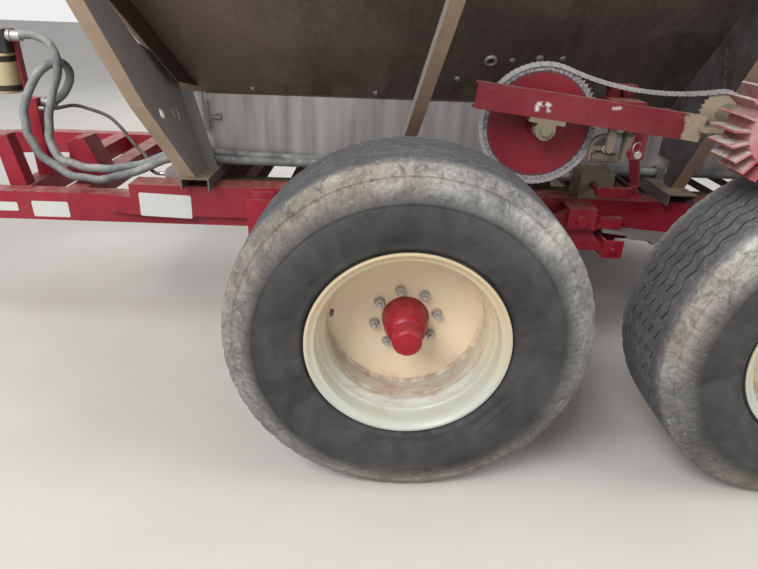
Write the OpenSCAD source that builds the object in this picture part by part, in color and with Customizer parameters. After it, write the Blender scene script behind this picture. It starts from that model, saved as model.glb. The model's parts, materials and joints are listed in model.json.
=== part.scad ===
// Tandem-axle manure and litter spreader with a V-shaped stainless hopper,
// a floor conveyor, a feed gate, two spinner discs and a ground drive.
// X points forward, Y to the machine's left, Z up. Lengths are in millimetres.

/* [Wheels] */
// Outer diameter of a tyre
tyre_od = 1108; // [1080:2:1116]
// Widest width of a tyre, across its sidewalls
tyre_w = 422; // [400:2:436]
// Width of a tyre's tread
tread_w = 320; // [300:2:330]
// Distance from the front wheels to the rear wheels
wheel_base = 1320; // [1290:2:1360]
// Distance between the middles of the left and right tyres
wheel_track = 2236; // [2220:2:2280]
// Diameter of the seat for the tyre's beads
bead_d = 572; // [560:1:580]
// Width of the rim between its lips
rim_w = 356; // [340:2:370]
// Depth of the rim's dish, from its outer lip to the disc
dish_depth = 185; // [150:1:200]
// Thickness of the wheel's disc
disc_t = 12; // [8:1:16]
// Circle of the wheel nuts
nut_circle = 203; // [190:1:215]
// Number of wheel nuts
nut_count = 8; // [6:1:10]
// Diameter of the hub at the disc
hub_d = 152; // [130:2:170]
// Diameter of the hub's cap
hub_cap_d = 91; // [70:1:110]
// How far the hub stands out of the disc
hub_out = 165; // [120:1:180]

/* [Frame] */
// Width of the frame over its rails
frame_w = 1200; // [1180:2:1230]
// Height of a rail's channel
rail_h = 120; // [110:1:130]
// Thickness of a rail's plate
rail_t = 8; // [5:1:10]
// Height of the bottom of the rails above the axles
rail_rise = 136; // [130:1:150]
// Height of the long beam beside a rail
beam_h = 113; // [105:1:117]
// Width of the long beam
beam_w = 76; // [60:1:90]
// How far the long beam reaches below the rail
beam_drop = 45; // [35:1:52]
// How far a rail stands out past its beam
rail_step = 30; // [20:1:36]
// Place of the rails' front end
rail_front_x = 1710; // [1690:5:1740]
// Place of the rails' rear end
rail_rear_x = -1760; // [-1770:5:-1745]
// Place where the drawbar starts to taper
taper_x = 2600; // [2560:5:2700]
// Place of the hitch pin
hitch_x = 4290; // [4240:5:4340]
// Bore for the hitch pin
hitch_bore_d = 33.4; // [26:0.1:38]
// Thickness of each hitch jaw
jaw_t = 25; // [20:1:30]
// Gap between the hitch jaws
jaw_gap = 60; // [50:1:70]

/* [Running gear] */
// Diameter of an axle's tube
axle_d = 127; // [110:1:135]
// Width of a spring's leaves
leaf_w = 64; // [50:1:70]
// Thickness of a leaf
leaf_t = 12; // [8:1:13]
// Number of leaves in a spring
leaf_count = 5; // [3:1:5]
// How far a spring's ends rise above its middle
spring_rise = 34; // [20:1:40]
// Height of an equaliser's pin above the axles
pivot_rise = 203; // [198:1:208]
// Diameter of an equaliser's pin
pivot_d = 45; // [38:1:50]
// Diameter of a wheel spindle
spindle_d = 70; // [55:1:80]
// Radial play in a hub's bearings
bearing_play = 0.05; // [0.02:0.01:0.1]

/* [Hopper] */
// Distance between the insides of the hopper's lower walls
trough_w = 780; // [740:4:800]
// Height of the trough floor above the rails
floor_rise = 45; // [40:1:55]
// Height of the lower walls
band_h = 288; // [260:2:310]
// Slope of the sides, from level
side_slope = 47.5; // [45:0.5:50]
// Inner width of the hopper at its top
hopper_w = 2400; // [2360:10:2440]
// Height of the upright band at the hopper's top
top_band_h = 228; // [200:2:260]
// Thickness of the hopper's plate
sheet_t = 5; // [3:0.5:6]
// Place of the hopper's front wall
hopper_front_x = 1450; // [1440:2:1460]
// Place of the hopper's rear wall
hopper_rear_x = -1300; // [-1310:2:-1290]
// Lean of the front wall, from upright
front_lean = 20.7; // [16:0.1:24]
// Size of the tube round the hopper's top
rim_tube = 60; // [50:1:70]
// Thickness of the side supports' plate
support_t = 8; // [6:1:10]
// Width of the side supports' flange
support_flange = 50; // [40:1:60]
// Width of the cross sills that carry the hopper
sill_w = 106; // [90:2:120]

/* [Conveyor] */
// Radius of the conveyor chain round its shafts
conveyor_r = 53; // [50:1:55]
// Place of the front conveyor shaft
conveyor_front_x = 1570; // [1560:2:1580]
// Place of the rear conveyor shaft
conveyor_rear_x = -1740; // [-1760:2:-1720]
// Number of slats
slat_count = 46; // [30:1:52]
// Diameter of the conveyor shafts
conveyor_shaft_d = 50; // [40:1:60]

/* [Feed gate] */
// Width of the gate
gate_w = 720; // [700:2:730]
// Height of the gate
gate_h = 420; // [400:2:440]
// Thickness of the gate
gate_t = 8; // [6:1:10]
// How far the gate lifts
gate_lift = 300; // [200:10:320]
// Diameter of the gate's lifting screw
screw_d = 25; // [20:1:30]

/* [Spinners] */
// Diameter of a spinner disc
spinner_d = 610; // [580:2:620]
// Distance between the spinners' axes
spinner_gap = 660; // [650:2:680]
// Place of the spinners' axes
spinner_x = -2070; // [-2090:2:-2066]
// Height of the discs
spinner_z = 640; // [630:1:645]
// Number of fins on a disc
fin_count = 6; // [4:1:8]
// Height of a fin
fin_h = 80; // [60:1:85]

/* [Ground drive] */
// Pitch of the drive chain
chain_pitch = 15.875; // [15.5:0.125:16]
// Teeth on the large sprocket
large_teeth = 72; // [68:4:72]
// Teeth on the small sprocket
small_teeth = 24; // [20:4:24]
// Place of the jackshaft
jack_x = 260; // [250:1:270]
// Height of the jackshaft above the axles
jack_rise = 576; // [570:1:586]
// Place of the drive roller's shaft
roller_x = -300; // [-306:1:-294]
// Height of the drive roller's shaft above the axles
roller_rise = 636; // [634:1:646]
// Diameter over the drive roller's cleats
roller_d = 276; // [268:1:282]
// Length of the drive roller
roller_len = 125; // [110:1:135]
// Number of cleat rows round the drive roller
cleat_rows = 20; // [16:2:24]
// Distance from a tyre's inner sidewall to the chain
chain_gap = 47; // [43:1:50]
// Depth of the drive arm's channel
arm_h = 76; // [70:1:80]
// Slope of the drive arm, down to the rear
arm_slope = 6.3; // [5.6:0.1:7]
// Diameter of the drive shafts
drive_shaft_d = 32; // [25:1:35]

/* [Hidden] */
$fn = 48;
// A cut reaches this far past the face that it opens
eps = 1;
// Gap left where two pieces seat against each other without touching
seat_gap = 0.3;

RED = [0.62, 0.05, 0.12];
STAINLESS = [0.62, 0.60, 0.57];
CREAM = [0.90, 0.87, 0.76];
RUBBER = [0.13, 0.13, 0.13];
DUSTY = [0.55, 0.50, 0.42];
STEEL = [0.45, 0.45, 0.44];
BLACK = [0.10, 0.10, 0.10];

// Heights
axle_z = tyre_od / 2;
rail_z = axle_z + rail_rise;
rail_top = rail_z + rail_h;
beam_z = rail_z - beam_drop;
beam_top = beam_z + beam_h;
floor_z = rail_top + floor_rise;
floor_t = 6;

// Running gear, with the wheel's disc measured from the middle of its tyre
pivot_z = axle_z + pivot_rise;
spring_gap = 12;
seat_t = 10;
leaf_low = axle_z + axle_d / 2 + seat_t;
spring_half = wheel_base / 2 - 95;
hanger_t = 10;
ubolt_d = 16;
disc_at = rim_w / 2 - 6 - dish_depth;
stud_d = 20;
disc_y = wheel_track / 2 + disc_at;

// Frame
rail_y = frame_w / 2;
beam_y = rail_y - rail_step;
beam_in_y = beam_y - beam_w;
spring_y = rail_y + spring_gap + hanger_t + leaf_w / 2;
hanger_y = spring_y + leaf_w / 2 + spring_gap;
beam_t = 6;
tip_y = 75;
tongue_x = hitch_x - 150;
cross_x = [-1250, -420, 520, 1400];
cross_s = 80;
cross_z = beam_z + 10;
deck_x = [1965, 2190];
sill_x = [hopper_rear_x + 70, -380, 690, hopper_front_x - 10];
sill_t = 5;
sill_y = rail_y + 50;

// Parking jack, from its foot up
jack_at = 3500;
jack_foot_d = 220;
jack_foot_t = 12;
jack_leg_d = 50;
jack_leg_h = 300;
jack_tube_d = 65;
jack_tube_h = 600;
jack_cap_h = 50;
jack_cap_step = 15;
jack_plate = 45;

// Hopper section: the inside of a side wall from its foot to its top, as [y, z]
band_y = trough_w / 2;
band_foot = floor_z;
band_top = floor_z + band_h - 15;
top_y = hopper_w / 2;
slope_top = band_top + (top_y - band_y) * tan(side_slope);
hopper_top = slope_top + top_band_h;
miter = tan((90 - side_slope) / 2);
side_rail = 50;
side_rail_z = slope_top - 30;
support_top_y = top_y + sheet_t + 25;
notch_w = 100;
notch_h = 90;
leg_in = band_y + 90;
leg_foot = 640;
leg_knee = [845, band_top + 12];
corner_w = 150;
wall_in = [[band_y, band_foot], [band_y, band_top], [top_y, slope_top], [top_y, hopper_top]];
function wall_at(t) = [[band_y + t, band_foot], [band_y + t, band_top - t * miter],
  [top_y + t, slope_top - t * miter], [top_y + t, hopper_top]];
front_run = (hopper_top - band_top) * tan(front_lean);

// Conveyor
slat_h = 14;
loop_z = floor_z + floor_t + 4 + 7 - conveyor_r;
strand_t = 14;
strand_w = 22;
strand_y = 320;
clear_z = loop_z + conveyor_r + slat_h + 6;

// Gate
gate_x = hopper_rear_x - sheet_t - 6 - gate_t;
gate_z = clear_z + 4;
guide_t = 10;
guide_lip = 24;
guide_top = gate_z + gate_h + gate_lift + 110;
opening_h = gate_h - 40;

// Spinners
disc_thick = 6;
spinner_arm_h = 60;
motor_h = 110;
motor_d = 110;
motor_base = 120;
motor_base_h = 20;
spinner_arm_z = spinner_z - motor_h - 15;
spinner_shaft_d = 38;

// Hydraulics at the front
filter_x = 2260;
filter_y = 300;
filter_z = beam_top + 327;
stand_s = 60;
stand_plate = 36;
stand_plate_t = 10;
stand_plate_h = 240;
lug_h = 200;

// Ground drive
jack_z = axle_z + jack_rise;
roller_z = axle_z + roller_rise;
large_r = chain_pitch / (2 * sin(180 / large_teeth));
small_r = chain_pitch / (2 * sin(180 / small_teeth));
drive_c = norm([jack_x - roller_x, roller_z - jack_z]);
drive_angle = atan2(roller_z - jack_z, jack_x - roller_x);
tooth_w = 6;
chain_y = wheel_track / 2 - tyre_w / 2 - chain_gap;
chain_w = 12.6;
chain_plate = 2.4;
chain_half = 7.4;
tip_rise = 4.6;
bearing_h = 33;
arm_t = 6;
arm_y = chain_y + 90;
block_w = 30;
arm_flange = 44;
arm_front = 230;
arm_rear = 470;
link_pin_d = 16;
roller_y = wheel_track / 2 - 50;
cleat_h = 45;
cleat_t = 6;
link_head = [-35, arm_y - 25, jack_z - 65];
link_foot = [-172, 710, rail_top + 55];
link_reach = 11.825;
link_run = 10.75;
lever_pivot = [-60, 0, rail_top + 55];
lever_y = 670;
lever_h = 38;
gearbox_h = 100;

// Everything moves forward or back so that its middle is at X = 0
x_front = hitch_x + 45;
x_rear = spinner_x - spinner_d / 2;
centre_shift = -(x_front + x_rear) / 2;

module placed() {
  translate([centre_shift, 0, 0]) children();
}

// A child drawn for the left side, put on side s: 1 is left and -1 is right
module on_side(s) {
  if (s > 0) children();
  else mirror([0, 1, 0]) children();
}

// A round bar along Y
module rod_y(d, y0, y1) {
  translate([0, y0, 0]) rotate([-90, 0, 0]) cylinder(d = d, h = y1 - y0);
}

// A ring turned about Y from its [radius, y] outline
module turned_y(outline) {
  rotate([-90, 0, 0]) rotate_extrude($fn = 96) polygon(outline);
}

// A closed tube of rectangular section along X
module box_tube(length, w, h, t) {
  difference() {
    cube([length, w, h]);
    translate([-eps, t, t]) cube([length + 2 * eps, w - 2 * t, h - 2 * t]);
  }
}

// A [y, z] outline carried along X
module along_x(length, outline) {
  rotate([90, 0, 90]) linear_extrude(length) polygon(outline);
}

// A [x, z] outline carried along Y
module along_y(y0, y1, outline) {
  translate([0, y1, 0]) rotate([90, 0, 0]) linear_extrude(y1 - y0) polygon(outline);
}

// A square bar from point p to point q
module strut(p, q, w, t) {
  d = q - p;
  translate(p)
    rotate([0, acos(d[2] / norm(d)), atan2(d[1], d[0])])
      translate([-t / 2, -w / 2, 0]) cube([t, w, norm(d)]);
}

// A round bar from point p to point q
module bar(p, q, d) {
  v = q - p;
  translate(p) rotate([0, acos(v[2] / norm(v)), atan2(v[1], v[0])]) cylinder(d = d, h = norm(v));
}

module rail(s) {
  color(RED) on_side(s)
    union() {
      along_channel();
      translate([rail_rear_x, beam_in_y, beam_z]) box_tube(taper_x - rail_rear_x, beam_w, beam_h, beam_t);
      front_closer();
      pivot_hanger();
      for (end = [-1, 1]) end_hanger(end);
    }
}

// The rail proper is a channel whose web faces out and whose flanges reach over and against the beam
module along_channel() {
  translate([rail_rear_x, 0, 0])
    along_x(rail_front_x - rail_rear_x, [
      [rail_y, rail_z], [rail_y, rail_top], [beam_in_y, rail_top], [beam_in_y, rail_top - rail_t],
      [rail_y - rail_t, rail_top - rail_t], [rail_y - rail_t, rail_z + rail_t],
      [beam_y, rail_z + rail_t], [beam_y, rail_z]]);
}

// A slanted plate that closes the front of the channel
module front_closer() {
  translate([0, 0, rail_z])
    linear_extrude(beam_top - rail_z)
      polygon([[rail_front_x, beam_y], [rail_front_x, rail_y], [rail_front_x + 120, beam_y]]);
}

// A box on the rail's outer face, open below, that holds the equaliser's pin
module pivot_hanger() {
  half = 52;
  low = pivot_z - pivot_d / 2 - 8;
  high = rail_top - 6;
  difference() {
    translate([-half, rail_y, low]) cube([2 * half, hanger_y + hanger_t - rail_y, high - low]);
    translate([-half - eps, rail_y + hanger_t, low - eps])
      cube([2 * half + 2 * eps, hanger_y - rail_y - hanger_t, high - hanger_t - low + eps]);
    translate([0, 0, pivot_z]) rod_y(pivot_d + 2 * bearing_play, rail_y + seat_gap,
      hanger_y + hanger_t + eps);
  }
}

// A slipper hanger at the far end of a spring: two cheeks and the pad that the spring's end bears on
module end_hanger(end) {
  tip = wheel_base / 2 + spring_half;
  pad_z = leaf_low + leaf_count * leaf_t + spring_rise + seat_gap;
  translate([end * (tip - 30) - 45, 0, 0]) {
    for (y = [rail_y, hanger_y]) translate([0, y, pad_z - 75])
      cube([90, hanger_t, rail_top - 10 - pad_z + 75]);
    translate([0, rail_y, pad_z]) cube([90, hanger_y + hanger_t - rail_y, 14]);
  }
}

module crossmembers() {
  color(RED) {
    for (x = cross_x) crossmember(x, cross_z);
    for (x = deck_x) crossmember(x, beam_top - cross_s);
  }
}

// A square tube between the long beams
module crossmember(x, z) {
  translate([x + cross_s / 2, -beam_in_y, z]) rotate([0, 0, 90]) box_tube(2 * beam_in_y, cross_s, cross_s, 5);
}

// Inverted channels across the rails, which the hopper stands on
module cross_sills() {
  color(STAINLESS) {
    for (x = sill_x)
      difference() {
        translate([x - sill_w / 2, -sill_y, rail_top]) cube([sill_w, 2 * sill_y, floor_rise]);
        translate([x - sill_w / 2 + sill_t, -sill_y - eps, rail_top - eps])
          cube([sill_w - 2 * sill_t, 2 * sill_y + 2 * eps, floor_rise - sill_t + eps]);
      }
    hose_clip(sill_x[0], 444);
    hose_clip(sill_x[1], 444);
    hose_clip(sill_x[2], 485);
  }
}

// A strap on a sill that holds the hoses beside the hopper's wall, as far out as y1
module hose_clip(x, y1) {
  y0 = band_y + sheet_t + 5;
  high = 47;
  wall = 4;
  translate([x - 15, 0, floor_z])
    along_x(30, [[y0, 0], [y0, high], [y1, high], [y1, 0], [y1 - wall, 0], [y1 - wall, high - wall],
      [y0 + wall, high - wall], [y0 + wall, 0]]);
}

// The tapering front part of the frame, one side
module drawbar(s) {
  run = norm([tongue_x - taper_x, beam_in_y - tip_y]);
  color(RED) on_side(s)
    intersection() {
      translate([taper_x, beam_in_y, beam_z]) rotate([0, 0, -atan2(beam_in_y - tip_y, tongue_x - taper_x)])
        translate([-beam_w, 0, 0]) box_tube(run + 2 * beam_w, beam_w, beam_h, beam_t);
      translate([taper_x, 0, 0]) cube([tongue_x - taper_x, rail_y, beam_top]);
    }
}

// A faced plate at the tip of the drawbar, with a clevis bolted low on it
module hitch_clevis() {
  plate_h = 300;
  plate_t = 30;
  jaw_z = beam_z - 150;
  color(RED)
    difference() {
      union() {
        translate([tongue_x, -tip_y - beam_w - 10, beam_top - plate_h])
          cube([plate_t, 2 * (tip_y + beam_w + 10), plate_h]);
        translate([tongue_x + plate_t, -55, jaw_z - 15]) cube([20, 110, 2 * jaw_t + jaw_gap + 30]);
        for (z = [jaw_z, jaw_z + jaw_t + jaw_gap])
          translate([tongue_x + plate_t, 0, z]) {
            translate([0, -45, 0]) cube([hitch_x - tongue_x - plate_t, 90, jaw_t]);
            translate([hitch_x - tongue_x - plate_t, 0, 0]) cylinder(d = 90, h = jaw_t);
          }
      }
      translate([hitch_x, 0, jaw_z - eps]) cylinder(d = hitch_bore_d, h = 2 * jaw_t + jaw_gap + 2 * eps);
    }
}

// Outer face of the tapering drawbar at x
function drawbar_out(x) = beam_in_y - (x - taper_x) * (beam_in_y - tip_y) / (tongue_x - taper_x)
  + beam_w / cos(atan2(beam_in_y - tip_y, tongue_x - taper_x));

// A jack on the drawbar's left side, which holds the front up when parked
module parking_jack() {
  jack_y = drawbar_out(jack_at - jack_plate) + jack_tube_d / 2 + 10;
  color(RED) {
    translate([jack_at, jack_y, 0]) {
      cylinder(d = jack_foot_d, h = jack_foot_t);
      translate([0, 0, jack_foot_t]) cylinder(d = jack_leg_d, h = jack_leg_h);
      translate([0, 0, jack_leg_h]) cylinder(d = jack_tube_d, h = jack_tube_h);
      translate([0, 0, jack_leg_h + jack_tube_h]) cylinder(d = jack_tube_d + jack_cap_step, h = jack_cap_h);
    }
    translate([0, 0, beam_z]) linear_extrude(beam_h)
      polygon([[jack_at - jack_plate, drawbar_out(jack_at - jack_plate) + seat_gap],
        [jack_at - jack_plate, jack_y],
        [jack_at + jack_plate, jack_y],
        [jack_at + jack_plate, drawbar_out(jack_at + jack_plate) + seat_gap]]);
  }
}

// A straight axle across the machine, f is 1 for the front one and -1 for the rear one, with a spindle at
// each end
module axle(f) {
  shoulder = disc_y - 75;
  color(RED) translate([f * wheel_base / 2, 0, axle_z]) {
    rod_y(axle_d, -shoulder, shoulder);
    rod_y(spindle_d, -disc_y - 60, disc_y + 60);
    for (s = [-1, 1])
      on_side(s)
        translate([-60, spring_y - leaf_w / 2, 0]) cube([120, leaf_w, leaf_low - axle_z - seat_gap]);
  }
}

// A spring's stack of leaves as one stepped [x, z] outline about its axle, curving up to its ends
function leaf_z(x) = spring_rise * pow(x / spring_half, 2);
function leaf_end(k) = spring_half * (1 - 0.17 * k);
function spring_outline() = concat(
  [for (i = [-8:8]) [spring_half * i / 8, leaf_count * leaf_t + leaf_z(spring_half * i / 8)]],
  [for (k = [0:leaf_count - 1]) each [for (x = [leaf_end(k), leaf_end(k + 1)])
    [x, (leaf_count - 1 - k) * leaf_t + leaf_z(x)]]],
  [[0, 0]],
  [for (k = [leaf_count - 1:-1:0]) each [for (x = [leaf_end(k + 1), leaf_end(k)])
    [-x, (leaf_count - 1 - k) * leaf_t + leaf_z(x)]]]);

// Four springs, each with a plate over its leaves and U-bolts down to a plate under the axle
module leaf_springs() {
  top = leaf_low + leaf_count * leaf_t;
  low = axle_z - axle_d / 2 - 12 - seat_gap;
  bolt_x = axle_d / 2 + ubolt_d / 2 + 2;
  bolt_y = leaf_w / 2 + ubolt_d / 2 + 2;
  color(STEEL)
    for (f = [-1, 1]) for (s = [-1, 1])
      on_side(s) translate([f * wheel_base / 2, spring_y, 0]) {
        translate([0, 0, leaf_low]) along_y(-leaf_w / 2, leaf_w / 2, spring_outline());
        for (z = [low, top]) translate([-bolt_x - 12, -bolt_y - 10, z])
          cube([2 * bolt_x + 24, 2 * bolt_y + 20, 12]);
        for (x = [-bolt_x, bolt_x]) for (y = [-bolt_y, bolt_y])
          translate([x, y, low - 15]) cylinder(d = ubolt_d, h = top + 12 + 25 - low);
      }
}

// A rocker on each side that shares the load between the ends of the front and the rear spring
module equalisers() {
  pad_low = leaf_low + leaf_count * leaf_t + spring_rise + seat_gap;
  base = axle_z + 78;
  web = 40;
  tip = wheel_base / 2 - spring_half;
  cheek = 64;
  color(RED)
    for (s = [-1, 1])
      on_side(s) {
        along_y(spring_y - web / 2, spring_y + web / 2, [
          [-45, pivot_z + 28], [45, pivot_z + 28], [tip, pad_low + 36], [tip + 70, pad_low + 40],
          [tip + 70, pad_low],
          [tip - 10, pad_low], [tip - 34, pad_low - 18], [tip + 15, base + 18], [tip + 15, base],
          [-tip - 15, base], [-tip - 15, base + 18], [34 - tip, pad_low - 18], [10 - tip, pad_low],
          [-tip - 70, pad_low], [-tip - 70, pad_low + 40], [-tip, pad_low + 36]]);
        for (x = [-tip - 15 - cheek, tip + 15]) {
          for (y = [rail_y + 2, hanger_y - 6])
            translate([x - 5, y, base - 20]) cube([cheek + 10, 10, 70]);
          translate([x < 0 ? x + cheek - 5 : x - 5, rail_y + 2, base - 20])
            cube([10, hanger_y + 4 - rail_y - 2, 70]);
          translate([x + cheek / 2, 0, base + 12]) rod_y(20, rail_y + 1, hanger_y + 16);
        }
        translate([0, 0, pivot_z]) {
          rod_y(pivot_d, rail_y + 1, hanger_y + hanger_t + 12);
          rod_y(70, rail_y + hanger_t + 2, hanger_y - 2);
        }
      }
}

// The hopper's side wall: upright at its foot, sloped, and upright again at its top
module hopper_side(s) {
  color(STAINLESS) on_side(s) {
    intersection() {
      translate([hopper_rear_x - sheet_t, 0, 0])
        along_x(hopper_front_x + front_run + 2 * sheet_t - hopper_rear_x,
          concat(wall_in, reversed(wall_at(sheet_t))));
      along_y(0, hopper_w, side_outline(sheet_t));
    }
    intersection() {
      translate([hopper_front_x, 0, 0]) along_x(front_run, corner_outline());
      along_y(0, hopper_w, [[hopper_front_x, band_top], [hopper_front_x + sheet_t, band_top],
        [hopper_front_x + sheet_t + front_run, hopper_top], [hopper_front_x + front_run, hopper_top]]);
    }
  }
}

// A flange in the plane of the front wall, outside the sloped side wall, as [y, z]. It passes inside the
// leg's edge.
function corner_outline() = let (low = band_top + 22, meet = 1740, high = side_rail_z - 1, sunk = sheet_t / 2)
  [[wall_y(low) - sunk, low], [wall_y(low + 40) + corner_w, low + 40], [wall_y(meet) + corner_w, meet],
    [leg_y(high) - 12, high], [wall_y(high) - sunk, high]];

// The outer edge of the front leg above its knee at height z
function leg_y(z) =
  leg_knee[0] + (z - leg_knee[1]) * (support_top_y - leg_knee[0]) / (side_rail_z - leg_knee[1]);

function reversed(v) = [for (i = [len(v) - 1:-1:0]) v[i]];

// The hopper seen from its side, with its walls' thickness t added at both ends, as [x, z]
function side_outline(t) = [
  [hopper_rear_x - t, band_foot], [hopper_front_x + t, band_foot], [hopper_front_x + t, band_top],
  [hopper_front_x + t + front_run, hopper_top], [hopper_rear_x - t, hopper_top]];

// The space between the side walls, carried along X
module between_walls(x0, x1) {
  translate([x0, 0, 0])
    along_x(x1 - x0, concat(wall_in, reversed([for (p = wall_in) [-p[0], p[1]]])));
}

module hopper_front() {
  color(STAINLESS)
    intersection() {
      between_walls(hopper_front_x, hopper_front_x + front_run + 2 * sheet_t);
      along_y(-hopper_w, hopper_w, [
        [hopper_front_x, clear_z], [hopper_front_x + sheet_t, clear_z], [hopper_front_x + sheet_t, band_top],
        [hopper_front_x + sheet_t + front_run, hopper_top], [hopper_front_x + front_run, hopper_top],
        [hopper_front_x, band_top]]);
    }
}

module hopper_rear() {
  color(STAINLESS)
    difference() {
      intersection() {
        between_walls(hopper_rear_x - sheet_t, hopper_rear_x);
        translate([hopper_rear_x - 2 * sheet_t, -hopper_w, clear_z])
          cube([3 * sheet_t, 2 * hopper_w, hopper_top - clear_z]);
      }
      translate([hopper_rear_x - 2 * sheet_t, -gate_w / 2 + 25, clear_z - eps])
        cube([3 * sheet_t, gate_w - 50, opening_h]);
    }
}

// A tube round the hopper's top, outside its walls
module hopper_rim() {
  x0 = hopper_rear_x - sheet_t - rim_tube;
  x1 = hopper_front_x + sheet_t + front_run + rim_tube;
  y1 = top_y + sheet_t + rim_tube;
  color(STAINLESS)
    translate([0, 0, hopper_top - rim_tube])
      difference() {
        translate([x0, -y1, 0]) cube([x1 - x0, 2 * y1, rim_tube]);
        translate([x0 + rim_tube, -y1 + rim_tube, -eps])
          cube([x1 - x0 - 2 * rim_tube, 2 * (y1 - rim_tube), rim_tube + 2 * eps]);
      }
}

// The outside of the sloped wall at height z
function wall_y(z) = band_y + sheet_t + (z - band_top + sheet_t * miter) / tan(side_slope);

// Outline of a wide support plate, as [y, z]: it stands on a sill, follows the hopper's wall
// and has a notch that the hoses run through
function support_outline(foot) = [
  [band_y + notch_w, floor_z], [foot, floor_z], [support_top_y, side_rail_z],
  [wall_y(side_rail_z), side_rail_z],
  [band_y + sheet_t, band_top - sheet_t * miter], [band_y + sheet_t, floor_z + notch_h],
  [band_y + notch_w, floor_z + notch_h]];

// A band between x0 and x1 that leans forward as it rises from a sill to the side rail, as [x, z]
function leaning(x0, x1, lean) = let (run = (side_rail_z - floor_z) * tan(lean))
  [[x0, floor_z], [x1, floor_z], [x1 + run, side_rail_z], [x0 + run, side_rail_z]];

// A [y, z] outline as a plate between x0 and x1, leaning forward
module leaning_plate(x0, x1, lean, outline) {
  intersection() {
    translate([x0 - hopper_w, 0, 0]) along_x(2 * hopper_w, outline);
    along_y(0, hopper_w, leaning(x0, x1, lean));
  }
}

// A wide plate with a flange along its outer edge, on the sill at x. The flange points forward where side
// is 1.
module wide_support(x, lean, foot, side) {
  edge = support_t * norm([side_rail_z - floor_z, support_top_y - foot]) / (side_rail_z - floor_z);
  back = side > 0 ? x - support_t / 2 : x + support_t / 2 - support_flange;
  leaning_plate(x - support_t / 2, x + support_t / 2, lean, support_outline(foot));
  leaning_plate(back, back + support_flange, lean, [[foot - edge, floor_z], [foot, floor_z],
    [support_top_y, side_rail_z], [support_top_y - edge, side_rail_z]]);
}

// The front leg, as [y, z]: the hoses pass between it and the hopper's lower wall, and it narrows to a
// point beside the hopper's corner flange
function leg_outline() =
  let (touch = band_top + (leg_in - band_y - sheet_t) * tan(side_slope) - sheet_t * miter, meet = 1740)
  [[leg_in, floor_z], [leg_foot, floor_z], leg_knee, [leg_y(meet), meet], [wall_y(meet) + corner_w + 1, meet],
    [wall_y(touch + 100) + corner_w + 1, touch + 100], [wall_y(touch + 25), touch + 25], [leg_in, touch]];

// Its outer flange, of thickness t, from the sill past the knee to the side rail
function leg_edge(t) = [[leg_foot - t, floor_z], [leg_foot, floor_z], leg_knee, [support_top_y, side_rail_z],
  [support_top_y - t, side_rail_z], [leg_knee[0] - t, leg_knee[1]]];

// Holes in the front leg, as [y, height above the floor, diameter], and slots, as [y, lower end, upper end]
LEG_HOLES = [[733, 247, 36], [863, 452, 9], [734, 459, 9], [697, 430, 9], [764, 313, 9], [627, 337, 9],
  [548, 338, 9], [694, 137, 9], [564, 129, 9], [506, 144, 9]];
LEG_SLOTS = [[632, 214, 250], [594, 200, 242]];

module front_leg(x, lean) {
  cut = 200;
  difference() {
    union() {
      leaning_plate(x - support_t / 2, x + support_t / 2, lean, leg_outline());
      leaning_plate(x - support_t / 2, x - support_t / 2 + support_flange, lean, leg_edge(10));
      leaning_plate(x + support_t / 2 - support_flange, x + support_t / 2, lean,
        [[leg_in, floor_z], [leg_in + support_t, floor_z], [leg_in + support_t, band_top + 15],
          [leg_in, band_top + 15]]);
    }
    for (h = LEG_HOLES)
      translate([x + h[1] * tan(lean) - cut / 4, h[0], floor_z + h[1]]) rotate([0, 90, 0])
        cylinder(d = h[2], h = cut / 2);
    for (h = LEG_SLOTS)
      translate([x + h[1] * tan(lean) - cut / 4, h[0] - 5, floor_z + h[1]]) cube([cut / 2, 10, h[2] - h[1]]);
  }
}

// A slim bar from the sill to the hopper's side rail
module slim_support(x0, x1) {
  foot = [x0, rail_y - 5, floor_z];
  head = [x1, top_y + 25, side_rail_z];
  intersection() {
    strut(foot - 0.05 * (head - foot), head + 0.05 * (head - foot), 50, 20);
    translate([x1 - 200, 0, floor_z]) cube([x0 - x1 + 400, hopper_w, side_rail_z - floor_z]);
  }
}

module supports(s) {
  color(STAINLESS) on_side(s) {
    front_leg(sill_x[3], atan(0.24));
    slim_support(sill_x[2] + 10, sill_x[2] - 240);
    wide_support(sill_x[1], 0, 560, -1);
    wide_support(sill_x[0], 0, 560, 1);
    translate([hopper_rear_x, top_y + sheet_t, side_rail_z])
      cube([hopper_front_x - hopper_rear_x + 300, side_rail, side_rail]);
  }
}

module conveyor_floor() {
  color(STAINLESS) {
    translate([hopper_rear_x - 390, -band_y, floor_z])
      cube([hopper_front_x + 60 - hopper_rear_x + 390, 2 * band_y, floor_t]);
  }
}

// The conveyor's closed outline at distance r from its chain's middle, as a solid along Y
module loop_solid(r, y0, y1) {
  translate([conveyor_front_x, 0, loop_z]) rod_y(2 * r, y0, y1);
  translate([conveyor_rear_x, 0, loop_z]) rod_y(2 * r, y0, y1);
  translate([conveyor_rear_x, y0, loop_z - r]) cube([conveyor_front_x - conveyor_rear_x, y1 - y0, 2 * r]);
}

// Two chain strands joined by slats, as one closed loop
module conveyor_chain() {
  straight = conveyor_front_x - conveyor_rear_x;
  loop_len = 2 * straight + 2 * PI * conveyor_r;
  color(DUSTY) {
    for (y = [-strand_y, strand_y])
      difference() {
        loop_solid(conveyor_r + strand_t / 2, y - strand_w / 2, y + strand_w / 2);
        loop_solid(conveyor_r - strand_t / 2, y - strand_w, y + strand_w);
      }
    for (i = [0:slat_count - 1])
      on_loop(i * loop_len / slat_count, straight) translate([-20, -band_y + 10, -2])
        cube([40, 2 * band_y - 20, slat_h]);
  }
}

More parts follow.
